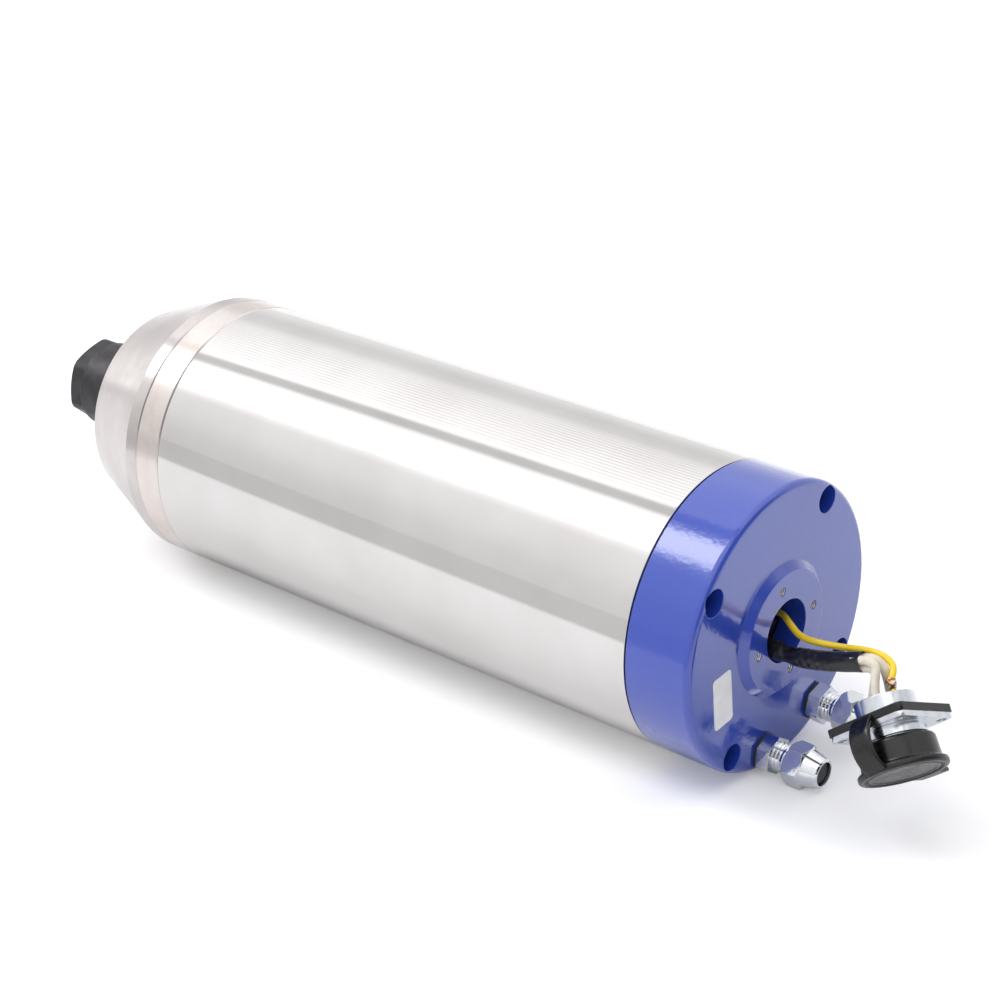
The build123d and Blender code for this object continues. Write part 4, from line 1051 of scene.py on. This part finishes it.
class SPINDLE_OT_dust_cap(bpy.types.Operator):
    """Mould the dust cap with its ringed end and pull tab"""
    bl_idname = "spindle.dust_cap"
    bl_label = "Dust Cap"

    def execute(self, context):
        count = 360
        angle = np.linspace(0, 2 * math.pi, count, endpoint=False)
        # Outline of the end disc: the larger of a circle and a tab, the tab being as far as its half
        # width over the sine of the angle from its middle, no further than its reach
        away = np.abs((angle - math.radians(-5.0) + math.pi) % (2 * math.pi) - math.pi)
        disc, reach, half_width = 11.7, 16.4, 4.0
        tab = np.minimum(reach / np.cos(np.minimum(away, 1.0)), half_width / np.maximum(np.sin(away), 0.02))
        tab = np.where(away < 1.2, np.minimum(tab, math.hypot(reach, half_width) - 0.7), 0)
        # Both are joined by the soft step ln(1 + e^(blend d)) / blend for a tab that stands out by d,
        # less what the step adds where there is no tab
        blend, step_limit = 8.0, 8.0
        edge = np.log(1 + np.exp(blend * np.minimum(tab - disc, step_limit))) / blend + disc
        edge -= math.log(2) / blend * np.exp(-((edge - disc) * 3))
        share = (edge / disc)[None, :, None]
        # Skin of the cap as (w, r): in along the bore, over the mouth, down the skirt, over the disc
        inside = rounded([(9.3, 0), (9.3, 7.85, 0.5), (3.3, 7.85, 0.3), (2.9, 8.3, 0.2), (2.9, 9.5, 0.4),
                          (3.6, 9.95, 0.3), (9.0, 10.25, 0.5), (9.35, 10.7, 0.4)], 0.3, 4)
        rim = rounded([(9.35, 10.7), (9.4, 11.3, 0.3), (9.75, 11.7, 0.3), (10.9, 11.7, 0.4),
                       (11.3, 11.25, 0.3), (11.3, 10.15, 0.2), (10.75, 9.95, 0.2), (10.75, 9.45, 0.2),
                       (11.2, 9.2, 0.3), (11.2, 8.6, 0.4), (10.95, 8.1, 0.4), (10.95, 0)], 0.3, 4)
        profile = np.concatenate([inside, rim[1:]])
        ring = np.stack([np.cos(angle), np.sin(angle)], axis=-1)[None]
        radius = profile[:, 1][:, None, None]
        # Only the outer band of the disc follows the tab
        band_start, band_width, skirt_end = 10.3, 1.3, 9.2
        follow = np.clip((profile[:, 1] - band_start) / band_width, 0, 1) * (profile[:, 0] > skirt_end)
        flat = ring * radius * (1 + follow[:, None, None] * (share - 1))
        depth = np.broadcast_to(profile[:, 0][:, None, None], flat[..., :1].shape).copy()
        thin = np.clip((np.linalg.norm(flat, axis=-1, keepdims=True) - disc) / 2.5, 0, 1)
        depth = np.where(depth < 10.2, depth + 0.25 * thin, depth - 0.1 * thin)
        points = socket_points(np.concatenate([flat, depth], axis=-1))
        mesh = surface("moulded_dust_cap", points, sharp_degrees=60)
        link_piece("moulded_dust_cap", mesh, "dust_cap_body", "black_rubber", ["dust_cap"])
        return {"FINISHED"}


class SPINDLE_OT_cap_strap(bpy.types.Operator):
    """Mould the strap that ties the dust cap to the gasket"""
    bl_idname = "spindle.cap_strap"
    bl_label = "Cap Strap"

    def execute(self, context):
        gap, half_thickness, half_width, bulge = 0.03, 0.75, 3.0, 3.2
        start = np.array([-11.5 - gap, 0, -2.5])
        end = np.array([-11.7 - gap, 0, 10.3])
        # Middle line: a circle's arc through both ends and the bulge, sampled by angle
        chord = end - start
        length = np.linalg.norm(chord)
        arc_radius = (length**2 / 4 + bulge**2) / (2 * bulge)
        half_turn = math.asin(length / 2 / arc_radius)
        t = np.linspace(-half_turn, half_turn, 49)
        middle = (start + end) / 2
        outward = np.array([-1.0, 0, 0])
        line = middle + np.sin(t)[:, None] * arc_radius * chord / length
        line = line + (np.cos(t)[:, None] * arc_radius - (arc_radius - bulge)) * outward
        # Section: a superellipse |u|^5 + |v|^5 = 1, 6 mm across the strap and 1.5 mm thick
        angle = np.linspace(0, 2 * math.pi, 48, endpoint=False)
        wide = half_width * np.sign(np.cos(angle)) * np.abs(np.cos(angle)) ** 0.4
        thick = np.sign(np.sin(angle)) * np.abs(np.sin(angle)) ** 0.4
        grown = half_thickness * (1 + 0.12 * np.cos(t * math.pi / half_turn))
        normal = np.stack([np.cos(t + math.pi), np.zeros_like(t), np.sin(t)], axis=-1)
        across = np.array([0, 1.0, 0])
        points = line[:, None] + wide[None, :, None] * across
        points = points + grown[:, None, None] * thick[None, :, None] * normal[:, None]
        caps = [np.repeat(centre[:, None], len(angle), axis=1) for centre in (line[:1], line[-1:])]
        capped = np.concatenate([caps[0], points, caps[1]])
        mesh = surface("moulded_cap_strap", socket_points(capped), sharp_degrees=60)
        piece = link_piece("moulded_cap_strap", mesh, None, "black_rubber", ["cap_strap"])
        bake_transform(piece)
        return {"FINISHED"}


# Leads

class SPINDLE_OT_leads(bpy.types.Operator):
    """Lay the shrunk sleeve, the phase leads, the earth wire and its solder joint"""
    bl_idname = "spindle.leads"
    bl_label = "Leads"

    def execute(self, context):
        phases = [self.add_phase(phase, lead) for phase, lead in PHASES.items()]
        self.add_sleeve(phases)
        self.add_earth_wire(self.add_solder())
        return {"FINISHED"}

    def add_phase(self, phase, lead):
        """A round sleeve of radius R (0.97 + 0.03 sin(9 s + phase)), with s from 0 to 1 along it, that
        closes at both ends in a soft cut."""
        count = 60
        path = evenly(cord_points(f"phase_line_{phase}", phase_route(lead)), count)
        place = np.linspace(0, 1, count)
        radii = LEAD_RADIUS * (0.97 + 0.03 * np.sin(9 * place + ord(phase)))
        radii = np.concatenate([[0.0, 0.9 * radii[0]], radii, [0.8 * radii[-1], 0.0]])
        path = np.concatenate([path[:1], path[:1], path, path[-1:], path[-1:]])
        path[1:3] += 0.01 * (path[4] - path[3])
        path[-3:-1] -= 0.01 * (path[-4] - path[-5])
        path[-2] += 0.02 * (path[-4] - path[-5])
        spread = path + np.linspace(0, 1e-4, len(path))[:, None]
        points = along(spread, circle_sections(radii, 32))
        mesh = surface(f"phase_sleeving_{phase}", points, sharp_degrees=60)
        return link_piece(
            f"phase_sleeving_{phase}", mesh, "motor_housing", "glass_sleeve", [f"phase_lead_{phase}"]
        )

    def add_sleeve(self, phases):
        """Shrunk tubing over three leads. Its section is r = R (0.965 + lobes cos 3a + creases), smaller
        and flatter where it was pinched; the mouth is open, with a thin wall."""
        count = 160
        line = cord_points("sleeve_line", SLEEVE_ROUTE)
        path = evenly(line, count)
        s = np.linspace(0, 1, count)[:, None]
        angle = np.linspace(0, 2 * math.pi, 96, endpoint=False)[None, :]
        turn = angle - 1.9 * s
        pinch = np.exp(-(((s - 0.36) / 0.07) ** 2))
        lobes = 0.035 + 0.10 * pinch
        crease = 0.022 * np.sin(7 * angle + 40 * s + 3 * np.sin(11 * s)) * (0.4 + pinch)
        crease = crease + 0.016 * np.sin(3 * angle - 95 * s) * np.exp(-(((s - 0.5) / 0.22) ** 2))
        mouth = np.clip((s - 0.93) / 0.07, 0, 1)
        radius = SLEEVE_RADIUS * (0.965 + lobes * np.cos(3 * turn) + crease - 0.12 * pinch + 0.02 * mouth)
        flat = 1 - 0.16 * pinch
        sections = np.stack([radius * np.cos(angle), radius * np.sin(angle) * flat], axis=-1)
        lip = sections[-1:] * 0.95
        inner = sections[-1:] * 0.91
        sections = np.concatenate([sections[:1] * 0, sections, lip, inner, inner * 0.98, inner * 0])
        tail = path[-1:] - path[-2:-1]
        tail /= np.linalg.norm(tail)
        end, lip_out, mouth_depth = path[-1:], 0.05, 3.0
        floor = end - (mouth_depth + lip_out) * tail
        extra = [end + lip_out * tail, end, end - mouth_depth * tail, floor]
        path_all = np.concatenate([path[:1], path, *extra])
        points = self.square_to(path_all, path, sections)
        mesh = surface("shrunk_sleeve", points, sharp_degrees=70)
        piece = link_piece("shrunk_sleeve", mesh, "motor_housing", "heat_shrink", ["lead_sleeve"])

    def square_to(self, centres, path, sections):
        """Sections square to the path; the extra rows at each end use the end's own heading."""
        frame_line = along(path, np.zeros((len(path), 3, 2)) + np.array([[0, 0], [1, 0], [0, 1.0]]))
        side = frame_line[:, 1] - frame_line[:, 0]
        rise = frame_line[:, 2] - frame_line[:, 0]
        extra = len(centres) - len(path) - 1
        side = np.concatenate([side[:1], side, np.repeat(side[-1:], extra, axis=0)])
        rise = np.concatenate([rise[:1], rise, np.repeat(rise[-1:], extra, axis=0)])
        return centres[:, None] + sections[..., :1] * side[:, None] + sections[..., 1:2] * rise[:, None]

    def add_solder(self):
        """A lump of solder round the pin's end: a turned drop whose radius ripples with angle and height."""
        height = np.linspace(0, math.pi, 40)[:, None]
        angle = np.linspace(0, 2 * math.pi, 48, endpoint=False)[None, :]
        lumps = 1 + 0.10 * np.sin(2 * angle + 3 * height) + 0.06 * np.sin(5 * angle - 4 * height)
        radius = SOLDER_RADIUS * 0.86 * np.sin(height) ** 0.6 * lumps
        along_w = SOLDER_BASE - SOLDER_LENGTH / 2 + SOLDER_LENGTH / 2 * np.cos(height) + 0 * angle
        local = np.stack([radius * np.cos(angle), PIN_CIRCLE + radius * np.sin(angle), along_w], axis=-1)
        mesh = surface("solder_lump", socket_points(local), sharp_degrees=90)
        return link_piece("solder_lump", mesh, "motor_housing", "solder", ["earth_solder_joint"])

    def add_earth_wire(self, joint):
        """The yellow wire on its own smooth curve."""
        curve = cord_curve("earth_lead", EARTH_ROUTE, EARTH_RADIUS)
        piece = bpy.data.objects.new("earth_lead", curve)
        bpy.context.scene.collection.objects.link(piece)
        curve.materials.append(bpy.data.materials["yellow_insulation"])
        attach(piece, "motor_housing")
        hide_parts("earth_wire")


# Panel and registration

STEPS = ["studio", "finishes", "barrel", "machined", "hub_threads", "dust_cap", "cap_strap", "leads"]


class SPINDLE_PT_panel(bpy.types.Panel):
    """Lists the steps in the order they are run"""
    bl_idname = "SPINDLE_PT_panel"
    bl_label = "Motor Spindle"
    bl_space_type = "VIEW_3D"
    bl_region_type = "UI"
    bl_category = "Spindle"

    def draw(self, context):
        layout = self.layout
        for name in SpindleLook.__annotations__:
            layout.prop(context.scene.spindle_look, name)
        for name in SpindleStudio.__annotations__:
            layout.prop(context.scene.spindle_studio, name)
        for step in STEPS:
            layout.operator(f"spindle.{step}")


CLASSES = [
    SpindleLook, SpindleStudio, SPINDLE_OT_studio, SPINDLE_OT_finishes, SPINDLE_OT_barrel,
    SPINDLE_OT_machined, SPINDLE_OT_hub_threads, SPINDLE_OT_dust_cap, SPINDLE_OT_cap_strap,
    SPINDLE_OT_leads, SPINDLE_PT_panel,
]


def register():
    for item in CLASSES:
        bpy.utils.register_class(item)
    bpy.types.Scene.spindle_look = PointerProperty(type=SpindleLook)
    bpy.types.Scene.spindle_studio = PointerProperty(type=SpindleStudio)


def unregister():
    del bpy.types.Scene.spindle_studio
    del bpy.types.Scene.spindle_look
    for item in reversed(CLASSES):
        bpy.utils.unregister_class(item)


def main():
    """Run every step."""
    register()
    for step in STEPS:
        getattr(bpy.ops.spindle, step)()


if __name__ == "__main__":
    main()
